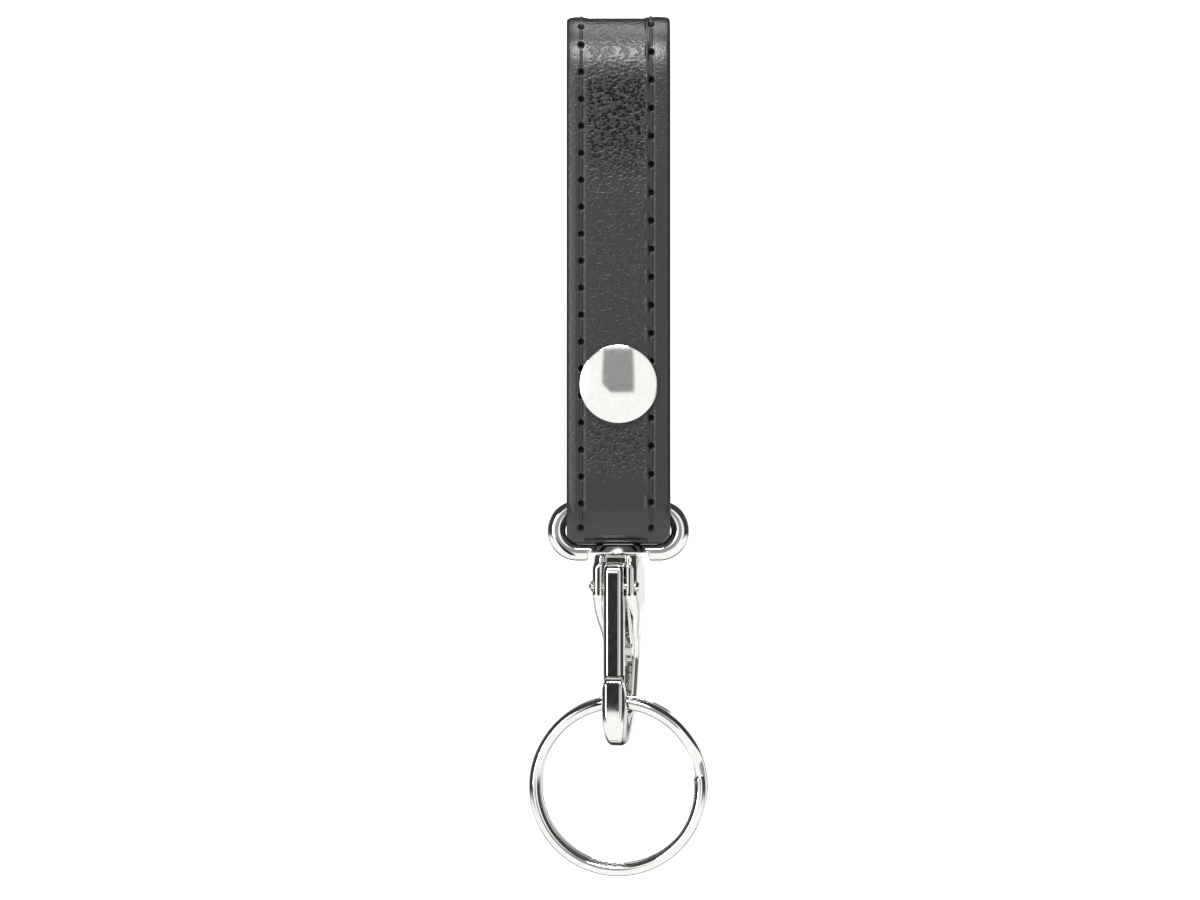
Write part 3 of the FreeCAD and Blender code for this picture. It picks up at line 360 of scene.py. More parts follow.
def grooved(section, along):
    """The section with the stitch grooves, needle holes, swells and hollows of the leather pressed in."""
    u = section[:, 0]
    n = section[:, 1]
    share_up = np.clip((n - OUTER_THICK + EDGE_ROUND) / EDGE_ROUND, 0, 1)
    press = np.zeros_like(u)
    for row, pitch in ROWS:
        gap = min(abs(along - hole) for hole in HOLES[row])
        apart = u - row
        from_hole = np.hypot(apart / HOLE_HALF_WIDE, gap / HOLE_HALF_LONG)
        press += GROOVE_DEPTH * np.exp(-(apart / GROOVE_HALF) ** 4)
        press += HOLE_DEPTH * np.exp(-from_hole ** 6)
        if row == RIGHT_ROW:
            from_lip = np.hypot((apart + LIP_ASIDE) / LIP_HALF_WIDE, gap / LIP_HALF_LONG)
            press -= LIP_HEIGHT * np.exp(-from_lip ** 2)
    press *= band(along, ROWS_START, ROWS_FULL, LAST_HOLE, LAST_HOLE + ROW_FADE)
    middle = between_rows(u, 0, ROW_FADE)
    left = np.clip((LEFT_ROW - u) / (HALF_WIDTH + LEFT_ROW), 0, 1)
    right = np.clip((u - RIGHT_ROW) / (HALF_WIDTH - RIGHT_ROW), 0, 1)
    press += LEFT_ROLL * left ** 1.5 + RIGHT_ROLL * right ** 2
    press += BEND_SAG * middle * in_bend(along)
    if along < STARTS["bend"]:
        press += eyelet_seat(u, along)
    press += CREASE_DEPTH * between_rows(u, CREASE_GAP, CREASE_FULL) * crease(along)
    press -= FOLD_SWELL * smooth(along, FOLD_START + SWELL_START, FOLD_START + SWELL_FULL)
    share = GLUE_LEAN + (1 - GLUE_LEAN) * np.clip(n / OUTER_THICK, 0, 1)
    return np.stack([u, n - press * share_up - bend_ease(along) * share], axis=1)


def eyelet_seat(across, along):
    """The dimple that the eyelet's flange is drawn into at the rear, open through its bore."""
    away = np.hypot(across, REAR_Z + along - SNAP_Z)
    dimple = SEAT_DEPTH * (1 - smooth(away, FLANGE_RADIUS, FLANGE_RADIUS + SEAT_SLOPE))
    return dimple + BORE_DEPTH * (1 - smooth(away, BORE_RADIUS, FLANGE_RADIUS - SEAT_SLOPE))


def in_bend(along):
    """One over the top of the bend, fading out at both ends of it."""
    middle = (STARTS["bend"] + STARTS["front"]) / 2
    return math.exp(-((along - middle) / SAG_REACH) ** 2)


def bend_ease(along):
    """How far the front leather lies inside a round bend: it leans back into a tall half oval."""
    y, z, out_y, out_z = on_path(along)
    if along >= FOLD_START or out_y > 0 or z < ARCH_FOOT:
        return 0
    wide = GLUE_REACH + OUTER_THICK
    tall = BEND_Z + wide - ARCH_FOOT
    place = np.array([(y + out_y * OUTER_THICK) / wide, (z + out_z * OUTER_THICK - ARCH_FOOT) / tall])
    inward = np.array([out_y / wide, out_z / tall])
    across = place @ inward
    length = inward @ inward
    return (across - math.sqrt(max(across ** 2 - length * (place @ place - 1), 0))) / length


def crease(along):
    """One at the crease across the fold, just above its lowest line, and zero away from it."""
    place = FOLD_START + FOLD_GLUE * math.asin(CREASE_DROP / (FOLD_GLUE + OUTER_THICK))
    return math.exp(-((along - place) / CREASE_HALF) ** 4)


def between_rows(across, gap, full):
    """One between the two rows of stitching, fading out beside them from the full distance to the gap."""
    return band(across, LEFT_ROW + gap, LEFT_ROW + full, RIGHT_ROW - full, RIGHT_ROW - gap)


def sweep(alongs, section_of):
    """Points of a section carried along the path, with each point's distance across and along."""
    points = []
    flat = []
    for along in alongs:
        y, z, out_y, out_z = on_path(along)
        section = section_of(along)
        for u, n in section:
            points.append((u, y + n * out_y, z + n * out_z))
            flat.append((u, along))
    return points, flat


def set_map(piece, flat):
    """A map of the leather laid flat, one unit to the millimetre, for the grain."""
    layer = piece.data.uv_layers.new(name="flat")
    loops = np.zeros(len(piece.data.loops), dtype=np.int32)
    piece.data.loops.foreach_get("vertex_index", loops)
    places = np.array(flat)[loops] / MM
    layer.data.foreach_set("uv", places.astype(np.float32).ravel())


def set_values(piece, name, values):
    layer = piece.data.attributes.new(name, "FLOAT", "POINT")
    layer.data.foreach_set("value", values.astype(np.float32))


def set_grain(piece, flat):
    """How strong the grain is, most of all in two bands of the front run, and painted shade in the fold's
    crease.
    """
    across, along = np.array(flat).T
    middle = between_rows(across, GRAIN_INSET, GRAIN_FULL)
    down = along - STARTS["front"]
    upper = band(down, *UPPER_GRAIN)
    lower = LOWER_STRENGTH * band(down, *LOWER_GRAIN)
    even = EVEN_STRENGTH * (1 - smooth(down, EVEN_GRAIN_EBB, EVEN_GRAIN_END))
    strongest = np.maximum(np.maximum(upper, lower), even)
    set_values(piece, "grain", (GRAIN_BESIDE + (1 - GRAIN_BESIDE) * middle) * strongest)
    # Painted shade: the leather's colour is darkened in the crease across the fold, besides the groove
    # pressed there.
    crease_shade = np.array([crease(place) for place in along])
    set_values(piece, "crease", crease_shade * between_rows(across, CREASE_GAP, CREASE_FULL))


def leather_piece(name, alongs, section_of):
    points, flat = sweep(alongs, section_of)
    columns = len(points) // len(alongs)
    faces = grid_faces(len(alongs), columns) + end_faces(len(alongs), columns)
    piece = make_mesh(name, points, faces)
    piece.data.set_sharp_from_angle(angle=LEATHER_SHARP)
    set_map(piece, flat)
    set_grain(piece, flat)
    return piece


def outer_at(along):
    return grooved(outer_section(along), along)


def turn_at_hinge(piece):
    """The piece of the bend, with its place baked into its points; it is attached to no body."""
    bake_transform(piece)


def hang(pieces, solids):
    """The strap's three runs take the place of their solids; the rear and the front move with the bodies
    that these are on.
    """
    for run, piece in pieces.items():
        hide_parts(solids + run)
    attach(pieces["rear"], "strap")
    turn_at_hinge(pieces["bend"])
    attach(pieces["front"], "front_flap")
    return list(pieces.values())


def front_places(spacing):
    """Distances along the path of the front run, the fold and, where the ply has one, the tail."""
    ends = {
        "front": (STARTS["front"], FOLD_START),
        "fold": (FOLD_START, FOLD_END),
        "tail": (FOLD_END, PATH_LENGTH),
    }
    places = [steps(*ends[run], spacing[run]) for run in ends if run in spacing]
    return np.concatenate([run[:-1] for run in places[:-1]] + [places[-1]])


def leather(name, section_of, spacing):
    """One ply of the strap, in three pieces that meet at the ends of the bend."""
    places = {
        "rear": steps(0, STARTS["bend"], spacing["rear"]),
        "bend": steps(STARTS["bend"], STARTS["front"], spacing["bend"]),
        "front": front_places(spacing),
    }
    pieces = {run: leather_piece(f"{name}_leather_{run}", at, section_of) for run, at in places.items()}
    return hang(pieces, f"strap_{name}_")


def lining_section(along):
    half = width_at(along)
    lean = GLUE_LEAN * bend_ease(along)
    low = -LINING_THICK
    side = [
        (half, -LINING_BEVEL),
        (half, low + LINING_CORNER),
        (half - LINING_BEVEL, low + LINING_BEVEL),
        (half - LINING_CORNER, low),
    ]
    bottom = [(half * share, low) for share in np.linspace(0.75, -0.75, 7)]
    left = [(-u, n) for u, n in reversed(side)]
    top = half - LINING_BEVEL
    outline = [(0, 0), (top, 0)] + side + bottom + left + [(-top, 0)]
    return np.array(outline) - (0, lean)


# Stitching


def stitch_points(row, start, end):
    """Rings of points of one stitch: up out of a hole, along the groove and down into the next."""
    points = []
    for step in range(THREAD_STEPS):
        share = step / (THREAD_STEPS - 1)
        along = start + (end - start) * share
        near = min(share, 1 - share) * (end - start)
        dip = 1 - smooth(near, 0, THREAD_BEND)
        surface = OUTER_THICK - GROOVE_DEPTH - bend_ease(along)
        height = surface - THREAD_SINK * THREAD_RADIUS - THREAD_DIP * dip
        y, z, out_y, out_z = on_path(along)
        for side in range(THREAD_SIDES):
            angle = 2 * math.pi * side / THREAD_SIDES
            ply = 1 + THREAD_PLY * math.cos(2 * angle - 2 * THREAD_TWIST * step)
            u = row + THREAD_RADIUS * ply * math.cos(angle)
            n = height + THREAD_RADIUS * THREAD_FLATTEN * ply * math.sin(angle)
            points.append((u, y + n * out_y, z + n * out_z))
    return points


def thread_piece(name, stitches):
    points = []
    faces = []
    for row, start, end in stitches:
        first = len(points)
        points += stitch_points(row, start, end)
        faces += grid_faces(THREAD_STEPS, THREAD_SIDES, first)
        faces += end_faces(THREAD_STEPS, THREAD_SIDES, first)
    return make_mesh(name, points, faces)


def run_of(along):
    """The run of the strap that a place on the path lies in."""
    if along < STARTS["bend"]:
        return "rear"
    if along < STARTS["front"]:
        return "bend"
    return "front"


def stitching():
    """The stitches of the rear, the bend and the front, each as one piece."""
    groups = {"rear": [], "bend": [], "front": []}
    for row, places in HOLES.items():
        for start, end in zip(places, places[1:]):
            run = run_of((start + end) / 2)
            groups[run].append((row, start + STITCH_INSET, end - STITCH_INSET))
    pieces = {run: thread_piece("stitches_" + run, stitches) for run, stitches in groups.items()}
    return hang(pieces, "stitching_")


# Cast solids, given by the distance of any place in millimetres from their surface

CAST_STEP = 0.2
CAST_MARGIN = 0.5
SETTLE_TURNS = 3

def solid_mesh(name, distance, low, high, step):
    """Mesh of the surface where the distance is zero, with one point in each small cube that it crosses."""
    axes = [np.arange(a, b + step, step) for a, b in zip(low, high)]
    field = distance(*np.meshgrid(*axes, indexing="ij"))
    inside = field < 0
    cubes = np.array(field.shape) - 1
    total = np.zeros((*cubes, 3))
    count = np.zeros(cubes)
    for corner in np.ndindex(2, 2, 2):
        for axis in range(3):
            if corner[axis] == 1:
                continue
            ahead = tuple(c + (a == axis) for a, c in enumerate(corner))
            here = field[cube_view(corner, cubes)]
            there = field[cube_view(ahead, cubes)]
            crosses = (here < 0) != (there < 0)
            share = here / np.where(crosses, here - there, 1)
            for direction in range(3):
                offset = share if direction == axis else corner[direction]
                total[..., direction] += np.where(crosses, offset, 0)
            count += crosses
    used = count > 0
    number = np.full(cubes, -1)
    number[used] = np.arange(used.sum())
    points = np.array(low) + step * (np.argwhere(used) + total[used] / count[used][:, None])
    faces = np.concatenate([crossing_faces(inside, number, axis) for axis in range(3)])
    points, normals = settle(points, distance, step)
    piece = make_mesh(name, points * MM, faces.tolist())
    piece.data.normals_split_custom_set_from_vertices(normals.tolist())
    return piece


def cube_view(corner, cubes):
    return tuple(slice(first, first + size) for first, size in zip(corner, cubes))


def crossing_faces(inside, number, axis):
    """A face round each line along one axis that goes from inside to outside."""
    first, second = (axis + 1) % 3, (axis + 2) % 3
    crosses = inside != np.roll(inside, -1, axis)
    lines = np.argwhere(crosses)
    corners = []
    for one, two in ((-1, -1), (0, -1), (0, 0), (-1, 0)):
        cube = lines.copy()
        cube[:, first] += one
        cube[:, second] += two
        corners.append(number[tuple(cube.T)])
    faces = np.stack(corners, axis=1)
    outward = inside[tuple(lines.T)]
    return np.where(outward[:, None], faces, faces[:, ::-1])


def settle(points, distance, step):
    """Points moved onto the surface, with the way that it faces there."""
    small = step / 10
    for turn in range(SETTLE_TURNS):
        slope = np.stack([
            distance(*(points + small * axis).T) - distance(*(points - small * axis).T)
            for axis in np.eye(3)
        ], axis=1) / (2 * small)
        steep = np.maximum(np.linalg.norm(slope, axis=1, keepdims=True), 0.1)
        away = np.clip(distance(*points.T), -step, step)[:, None]
        points = points - slope * away / steep ** 2
    return points, slope / steep


def both(a, b, rounding):
    """Where two solids overlap, with a rounded edge between them."""
    outside = np.hypot(np.maximum(a + rounding, 0), np.maximum(b + rounding, 0))
    return np.minimum(-rounding, np.maximum(a, b)) + outside


def without(a, b, rounding):
    """The first solid with the second cut out of it."""
    return both(a, -b, rounding)


def joined(a, b, rounding):
    """Two solids as one, with a hollow fillet between them."""
    inside = np.hypot(np.maximum(rounding - a, 0), np.maximum(rounding - b, 0))
    return np.maximum(rounding, np.minimum(a, b)) - inside


# Swivel loop, in millimetres: a flat oval of wire with a boss in its lower bar, cut away over the hook

WIRE_RADIUS = 1.6
WIRE_POWER = 2.25
END_SWELL = 0.17
SWELL_INNER = 1
SWELL_OUTER = 2.5
LOOP_FILLET = 0.3
SEAT_EDGE = 0.1
LOOP_Z = -67.25
BOSS_TOP = -69.9
BOSS_LOW = -71.5
BOSS_RADIUS = 5.7
BOSS_ROUND = 0.35
RELIEF_RADIUS = 5.95
BOSS_SLOPE = 0.9
RIVET_HOLE = 1.58
RIVET_SEAT = 2.88
RIVET_SINK = 1.1


def loop_distance(x, y, z):
    from_axis = np.hypot(x, y)
    straight = LOOP_STRAIGHT / MM
    oval = np.hypot(np.maximum(np.abs(x) - straight, 0), z - LOOP_Z) - LOOP_MIDDLE / MM
    swell = END_SWELL * smooth(np.abs(x), straight - SWELL_INNER, straight + SWELL_OUTER)
    aside = np.abs(oval + swell) / (1 + swell / WIRE_RADIUS)
    wire = (aside ** WIRE_POWER + np.abs(y) ** WIRE_POWER) ** (1 / WIRE_POWER) - WIRE_RADIUS
    relief = np.maximum(from_axis - RELIEF_RADIUS, z - BOSS_LOW)
    wire = without(wire, relief, LOOP_FILLET)
    boss_half = (BOSS_TOP - BOSS_LOW) / 2
    flank = (from_axis - BOSS_RADIUS + BOSS_SLOPE * (z - BOSS_LOW)) / math.hypot(1, BOSS_SLOPE)
    boss = both(flank, np.abs(z - BOSS_TOP + boss_half) - boss_half, BOSS_ROUND)
    sink = np.clip((z - BOSS_TOP) / RIVET_SINK + 1, 0, 1)
    bore = from_axis - RIVET_HOLE - (RIVET_SEAT - RIVET_HOLE) * sink
    bore = np.maximum(bore, z - BOSS_TOP - CAST_MARGIN)
    return without(joined(wire, boss, LOOP_FILLET), bore, SEAT_EDGE)


def loop_piece():
    around = WIRE_RADIUS + CAST_MARGIN
    reach = (LOOP_STRAIGHT + LOOP_MIDDLE) / MM + around
    deep = BOSS_RADIUS + CAST_MARGIN
    low = (-reach, -deep, BOSS_LOW - around)
    high = (reach, deep, FOLD_Z / MM + around)
    loop = solid_mesh("loop", loop_distance, low, high, CAST_STEP)
    loop.data.transform(Matrix.Translation((0, FOLD_Y, 0)))
    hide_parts("swivel_loop")
    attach(loop, "loop")
    return loop


# Hook body, in its own frame in millimetres: the swivel axis is Z, the front is -Y, the head's top is zero

HOOK_PLACE = (0, FOLD_Y, -71.7 * MM)
HOOK_TURN = math.radians(-11)
HOOK_FRAME = Matrix.Translation(HOOK_PLACE) @ Matrix.Rotation(HOOK_TURN, 4, "Z")
HEAD_HALF = 4.4
HEAD_FRONT = 4.8
HEAD_FOOT = 10.5
EAR_FOOT = 8.2
SPINE_TOP = 18
SPINE_HALF = 3.6
SPINE_TAPER = 1.1 / 17.5
SPINE_LIFT = 1.5
SPINE_FRONT = -2
SPINE_REAR = 5
CHEEK_FOOT = 18.5
NOSE_HALF = 2.3
NOSE_TOP = 23.65
NOSE_ROOT = NOSE_TOP - 3
NOSE_FRONT = -3
NOSE_REAR = 2
NOSE_BACK = -1
NOSE_BEVEL = ((-5.95, -25.0), (-5.2, -NOSE_TOP))
NOSE_CORNER = ((1.4, -NOSE_TOP), (2.26, -25.3))
BOWL_NARROW = 0.6
BOWL_POWER = 2.5
BOWL_EASE = 2
BOWL_BELOW = 1.5
EYE_HALF = 2.9
EYE_FLOOR = 27.8
HOOK_REACH = 6.0
BOWL_Z = 31.3
SLOT_HALF = 2.25
SLOT_BACK = 2.25
SLOT_LEAN = 0.55
NECK_RADIUS = 5.6
NECK_DROP = 1.5
NECK_SLOPE = 0.8
CAST_ROUND = 1.05
FINE_ROUND = 0.35
EAR_ROUND = 0.6


def hook_half_width(y, z):
    """Half the hook's width: a wide head, a spine that narrows, and a nose in front of it."""
    level = -z + SPINE_LIFT * smooth(y, SPINE_FRONT, SPINE_REAR)
    spine = HEAD_HALF - (HEAD_HALF - SPINE_HALF) * smooth(level, HEAD_FOOT, SPINE_TOP)
    spine = spine - SPINE_TAPER * np.maximum(level - SPINE_TOP, 0)
    in_front = (1 - smooth(y, NOSE_FRONT, NOSE_REAR)) * smooth(-z, NOSE_ROOT - 1, NOSE_ROOT)
    half = spine + (NOSE_HALF - spine) * in_front
    return half - BOWL_NARROW * smooth(-z, BOWL_Z - BOWL_EASE, BOWL_Z + HOOK_REACH + BOWL_BELOW)


def plane(across, up, at, through):
    """Distance from the line through two places, in front of which the solid ends."""
    run = through[0] - at[0]
    rise = through[1] - at[1]
    return ((across - at[0]) * -rise + (up - at[1]) * run) / math.hypot(run, rise)


def hook_distance(x, y, z):
    across = np.abs(x)
    drop = np.maximum(-z - BOWL_Z, 0)
    body = (np.abs(y) ** BOWL_POWER + drop ** BOWL_POWER) ** (1 / BOWL_POWER) - HOOK_REACH
    body = both(body, z, CAST_ROUND)
    body = without(body, np.maximum(y + HEAD_FRONT, -z - NOSE_ROOT), CAST_ROUND)
    eye = np.hypot(y, np.minimum(z + EYE_FLOOR, 0)) - EYE_HALF
    mouth = both(y - EYE_HALF, -z - NOSE_TOP, FINE_ROUND)
    cheek = plane(y, z, (-HEAD_FRONT, -EAR_FOOT), (EYE_HALF, -CHEEK_FOOT))
    body = without(body, both(np.minimum(eye, mouth), cheek, CAST_ROUND), FINE_ROUND)
    bevel = plane(y, z, *NOSE_BEVEL)
    corner = plane(across, z, *NOSE_CORNER)
    nose = both(both(body, bevel, FINE_ROUND), corner, FINE_ROUND)
    body = np.where((y < NOSE_BACK) & (z < -NOSE_ROOT), nose, body)
    body = both(body, across - hook_half_width(y, z), CAST_ROUND)
    slot_back = np.minimum(SLOT_LEAN * np.maximum(-z - EAR_FOOT, 0) - SLOT_BACK, EYE_HALF)
    slot = both(across - SLOT_HALF, both(y - slot_back, -z - NOSE_ROOT, FINE_ROUND), FINE_ROUND)
    body = without(body, slot, EAR_ROUND)
    neck = np.hypot(x, y) - NECK_RADIUS - NECK_SLOPE * np.maximum(-z - NECK_DROP, 0)
    return both(body, neck / math.hypot(1, NECK_SLOPE), EAR_ROUND)


def hook_piece():
    wide = HEAD_HALF + CAST_MARGIN
    deep = HOOK_REACH + CAST_MARGIN
    low = (-wide, -deep, -BOWL_Z - deep)
    high = (wide, deep, CAST_MARGIN)
    hook = solid_mesh("hook", hook_distance, low, high, CAST_STEP)
    hook.data.transform(HOOK_FRAME)
    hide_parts("hook_body")
    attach(hook, "hook")
    return hook


# Gate spring, in the hook's frame in millimetres: a coil round the pin, and a leg that moves with the gate

SPRING_WIRE = 0.18
COIL_RADIUS = 0.9
COIL_TURNS = 2.5
COIL_PITCH = 0.86
COIL_STEPS = 100
COIL_OVERLAP = 0.06
OVERLAP_STEPS = 6
SPRING_LEG = 3.2
LEG_SHARE = 0.97
WIRE_SIDES = 12
PIN_Y = -4.1
PIN_Z = -6.2


def on_coil(turn):
    """Place on the coil's middle line, the way out from the pin there, and the way along the wire."""
    angle = 2 * math.pi * turn
    out = np.array([0, -math.cos(angle), math.sin(angle)])
    place = np.array([COIL_PITCH * (turn - COIL_TURNS / 2), PIN_Y, PIN_Z]) + COIL_RADIUS * out
    around = 2 * math.pi * COIL_RADIUS
    along = np.array([COIL_PITCH, around * math.sin(angle), around * math.cos(angle)])
    return place, out, along / np.linalg.norm(along)


def wire_piece(name, places, radius, body):
    """A round wire through places that each give the way out from the pin and the way along the wire."""
    points = []
    for place, out, along in places:
        side = np.cross(along, out)
        for column in range(WIRE_SIDES):
            angle = 2 * math.pi * column / WIRE_SIDES
            points.append((place + radius * (math.cos(angle) * out + math.sin(angle) * side)) * MM)
    faces = grid_faces(len(places), WIRE_SIDES) + end_faces(len(places), WIRE_SIDES)
    piece = make_mesh(name, points, faces)
    piece.data.set_sharp_from_angle(angle=LEATHER_SHARP)
    piece.data.transform(HOOK_FRAME)
    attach(piece, body)
    return piece


def spring_pieces():
    down = np.array([0, 0, -1])
    coil = [on_coil(turn) for turn in np.linspace(0, COIL_TURNS, COIL_STEPS)]
    first, first_out, first_along = coil[0]
    last, last_out, last_along = coil[-1]
    coil.append((last + SPRING_LEG * down, last_out, down))
    leg = [(first + SPRING_LEG * down, first_out, -down)]
    leg += [on_coil(turn) for turn in np.linspace(0, COIL_OVERLAP, OVERLAP_STEPS)]
    coil_piece = wire_piece("spring_coil", coil, SPRING_WIRE, "hook")
    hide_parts("gate_spring")
    return [coil_piece, wire_piece("spring_leg", leg, LEG_SHARE * SPRING_WIRE, "gate")]


# Snap cap: a shallow dome with a rounded rim, turned about its own axis

CAP_PLACE = (0, -GLUE_REACH - OUTER_THICK, SNAP_Z)
CAP_RADIUS = 7.6 * MM
CAP_HEIGHT = 2.3 * MM
CAP_EDGE = 1.2 * MM
CAP_WALL = 0.45 * MM
CAP_LIP = 1.2 * MM
CAP_RIM = 0.2 * MM
CAP_BEVEL = 0.1 * MM
CAP_COLUMNS = 96


def cap_profile():
    """Pairs of distance from the axis and height over the leather, from outside to inside."""
    rise = CAP_HEIGHT - CAP_EDGE
    dome = (CAP_RADIUS ** 2 + rise ** 2) / (2 * rise)
    inner = CAP_RADIUS - CAP_WALL

    def dome_height(out, radius):
        return CAP_HEIGHT - dome + math.sqrt(radius ** 2 - out ** 2)

    rim_out = CAP_RADIUS - CAP_RIM
    lean = math.asin(rim_out / dome)
    profile = [(out, dome_height(out, dome)) for out in np.linspace(0, rim_out, 40)]
    middle = dome_height(rim_out, dome) - CAP_RIM * math.cos(lean)
    centre = rim_out - CAP_RIM * math.sin(lean)
    for angle in np.linspace(lean, math.pi / 2, 10)[1:]:
        profile.append((centre + CAP_RIM * math.sin(angle), middle + CAP_RIM * math.cos(angle)))
    edge = profile[-1][0]
    lip = CAP_RADIUS - CAP_LIP
    profile += [(edge, CAP_BEVEL), (edge - CAP_BEVEL, 0), (lip, 0), (lip, CAP_WALL)]
    profile += [(out, dome_height(out, dome - CAP_WALL)) for out in np.linspace(inner, 0, 12)]
    return profile


def cap_piece():
    columns = CAP_COLUMNS
    profile = cap_profile()
    points = [(0, -profile[0][1], 0)]
    for out, height in profile[1:-1]:
        for column in range(columns):
            angle = 2 * math.pi * column / columns
            points.append((out * math.cos(angle), -height, out * math.sin(angle)))
    points.append((0, -profile[-1][1], 0))
    faces = grid_faces(len(profile) - 2, columns, 1)
    last = len(points) - 1
    for column in range(columns):
        after = (column + 1) % columns
        faces.append((0, 1 + after, 1 + column))
        faces.append((last, last - columns + column, last - columns + after))
    cap = make_mesh("cap", points, [face[::-1] for face in faces])
    cap.data.set_sharp_from_angle(angle=SHARP)
    cap.data.transform(Matrix.Translation(CAP_PLACE))
    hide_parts("snap_cap")
    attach(cap, "front_flap")
    return cap


# Split ring: a strip with rounded faces, wound twice

RING_Z = -116.8 * MM
RING_TURN = math.radians(-5)
RING_RADIUS = 16.15 * MM
RING_BACK = 0.825 * MM
RING_WIDE = 1.15 * MM
RING_THICK = 0.6 * MM
RING_CROWN = 0.4 * MM
RING_MOUTH = math.radians(7)
RING_STEP = math.radians(32)
RING_SPLIT = math.radians(47)
RING_END = 0.25 * MM
RING_TIP = 0.75
RING_ASIDE = 0.28 * MM
RING_STEPS = 460
RING_COLUMNS = 32


def ring_piece():
    """The two turns, which step from the rear to the front at the split."""
    full = 2 * math.pi
    last = 2 * full - RING_STEP - RING_MOUTH
    points = []
    for angle in np.linspace(RING_MOUTH, last, RING_STEPS):
        rear_share = 1 - 2 * smooth(angle, full - RING_STEP, full)
        depth = RING_BACK * rear_share
        widest = -RING_CROWN * rear_share
        from_end = min(angle - RING_MOUTH, last - angle) * RING_RADIUS
        size = RING_TIP + (1 - RING_TIP) * math.sqrt(1 - (1 - min(from_end / RING_END, 1)) ** 2)
        for column in range(RING_COLUMNS):
            side = full * column / RING_COLUMNS
            reach = RING_RADIUS + size * RING_WIDE * math.cos(side)
            crown = RING_THICK - math.copysign(widest, widest * math.sin(side))
            push = size * (widest + crown * math.sin(side))
            at = RING_SPLIT + angle
            aside = RING_ASIDE * (1 - angle / full)
            points.append((reach * math.cos(at) + aside, depth + push, reach * math.sin(at) + aside))
    faces = grid_faces(RING_STEPS, RING_COLUMNS) + end_faces(RING_STEPS, RING_COLUMNS)
    ring = make_mesh("ring", points, faces)
    ring.data.set_sharp_from_angle(angle=LEATHER_SHARP)
    ring.data.transform(Matrix.Translation((0, FOLD_Y, RING_Z)) @ Matrix.Rotation(RING_TURN, 4, "Z"))
    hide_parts("split_ring")
    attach(ring, "key_ring")
    return ring


# Materials: the leather's patterns per millimetre of its flat map, the metal's and the thread's per metre

WANDER_SCALE = 0.9
WANDER_REACH = 1.1
PITS_PER_MM = (1.4, 1.8, 1)
PIT_FLOOR = 0.24
PIT_RIM = 0.72
PIT_DEPTH = 0.14 * MM
STREAKS_PER_MM = (3.2, 0.5, 1)
STREAK_HEIGHT = 0.07 * MM
LEATHER_BLACK = (0.022, 0.0216, 0.0225)
# The near black of the painted shade in the grain's pits and in the fold's crease
PAINTED_SHADE_BLACK = (0.001, 0.001, 0.001)
NAP_SCALE = 4
NAP_HEIGHT = 0.1 * MM
FIBRE_SCALE = 5000
FIBRE_HEIGHT = 0.03 * MM
HAZE_SCALE = 900
WAVE_SCALE = 260
WAVE_HEIGHT = 0.2 * MM
STEEL_SCALE = 2500


def new_material(name):
    material = bpy.data.materials.new(name)
    material.use_nodes = True
    tree = material.node_tree
    shader = tree.nodes["Principled BSDF"]
    return material, tree, shader


def add(tree, kind, **values):
    node = tree.nodes.new(kind)
    for key, value in values.items():
        setattr(node, key, value)
    return node


def ramp(tree, source, low, high, low_colour, high_colour):
    node = add(tree, "ShaderNodeValToRGB")
    node.color_ramp.elements[0].position = low
    node.color_ramp.elements[1].position = high
    node.color_ramp.elements[0].color = (*low_colour, 1)
    node.color_ramp.elements[1].color = (*high_colour, 1)
    tree.links.new(source, node.inputs["Fac"])
    return node.outputs["Color"]


def noise(tree, vector, scale, detail, roughness=0.5):
    node = add(tree, "ShaderNodeTexNoise")
    node.inputs["Scale"].default_value = scale
    node.inputs["Detail"].default_value = detail
    node.inputs["Roughness"].default_value = roughness
    tree.links.new(vector, node.inputs["Vector"])
    return node.outputs["Fac"]


def bump(tree, height, strength, distance, normal=None, invert=False):
    node = add(tree, "ShaderNodeBump", invert=invert)
    node.inputs["Strength"].default_value = strength
    node.inputs["Distance"].default_value = distance
    tree.links.new(height, node.inputs["Height"])
    if normal:
        tree.links.new(normal, node.inputs["Normal"])
    return node.outputs["Normal"]


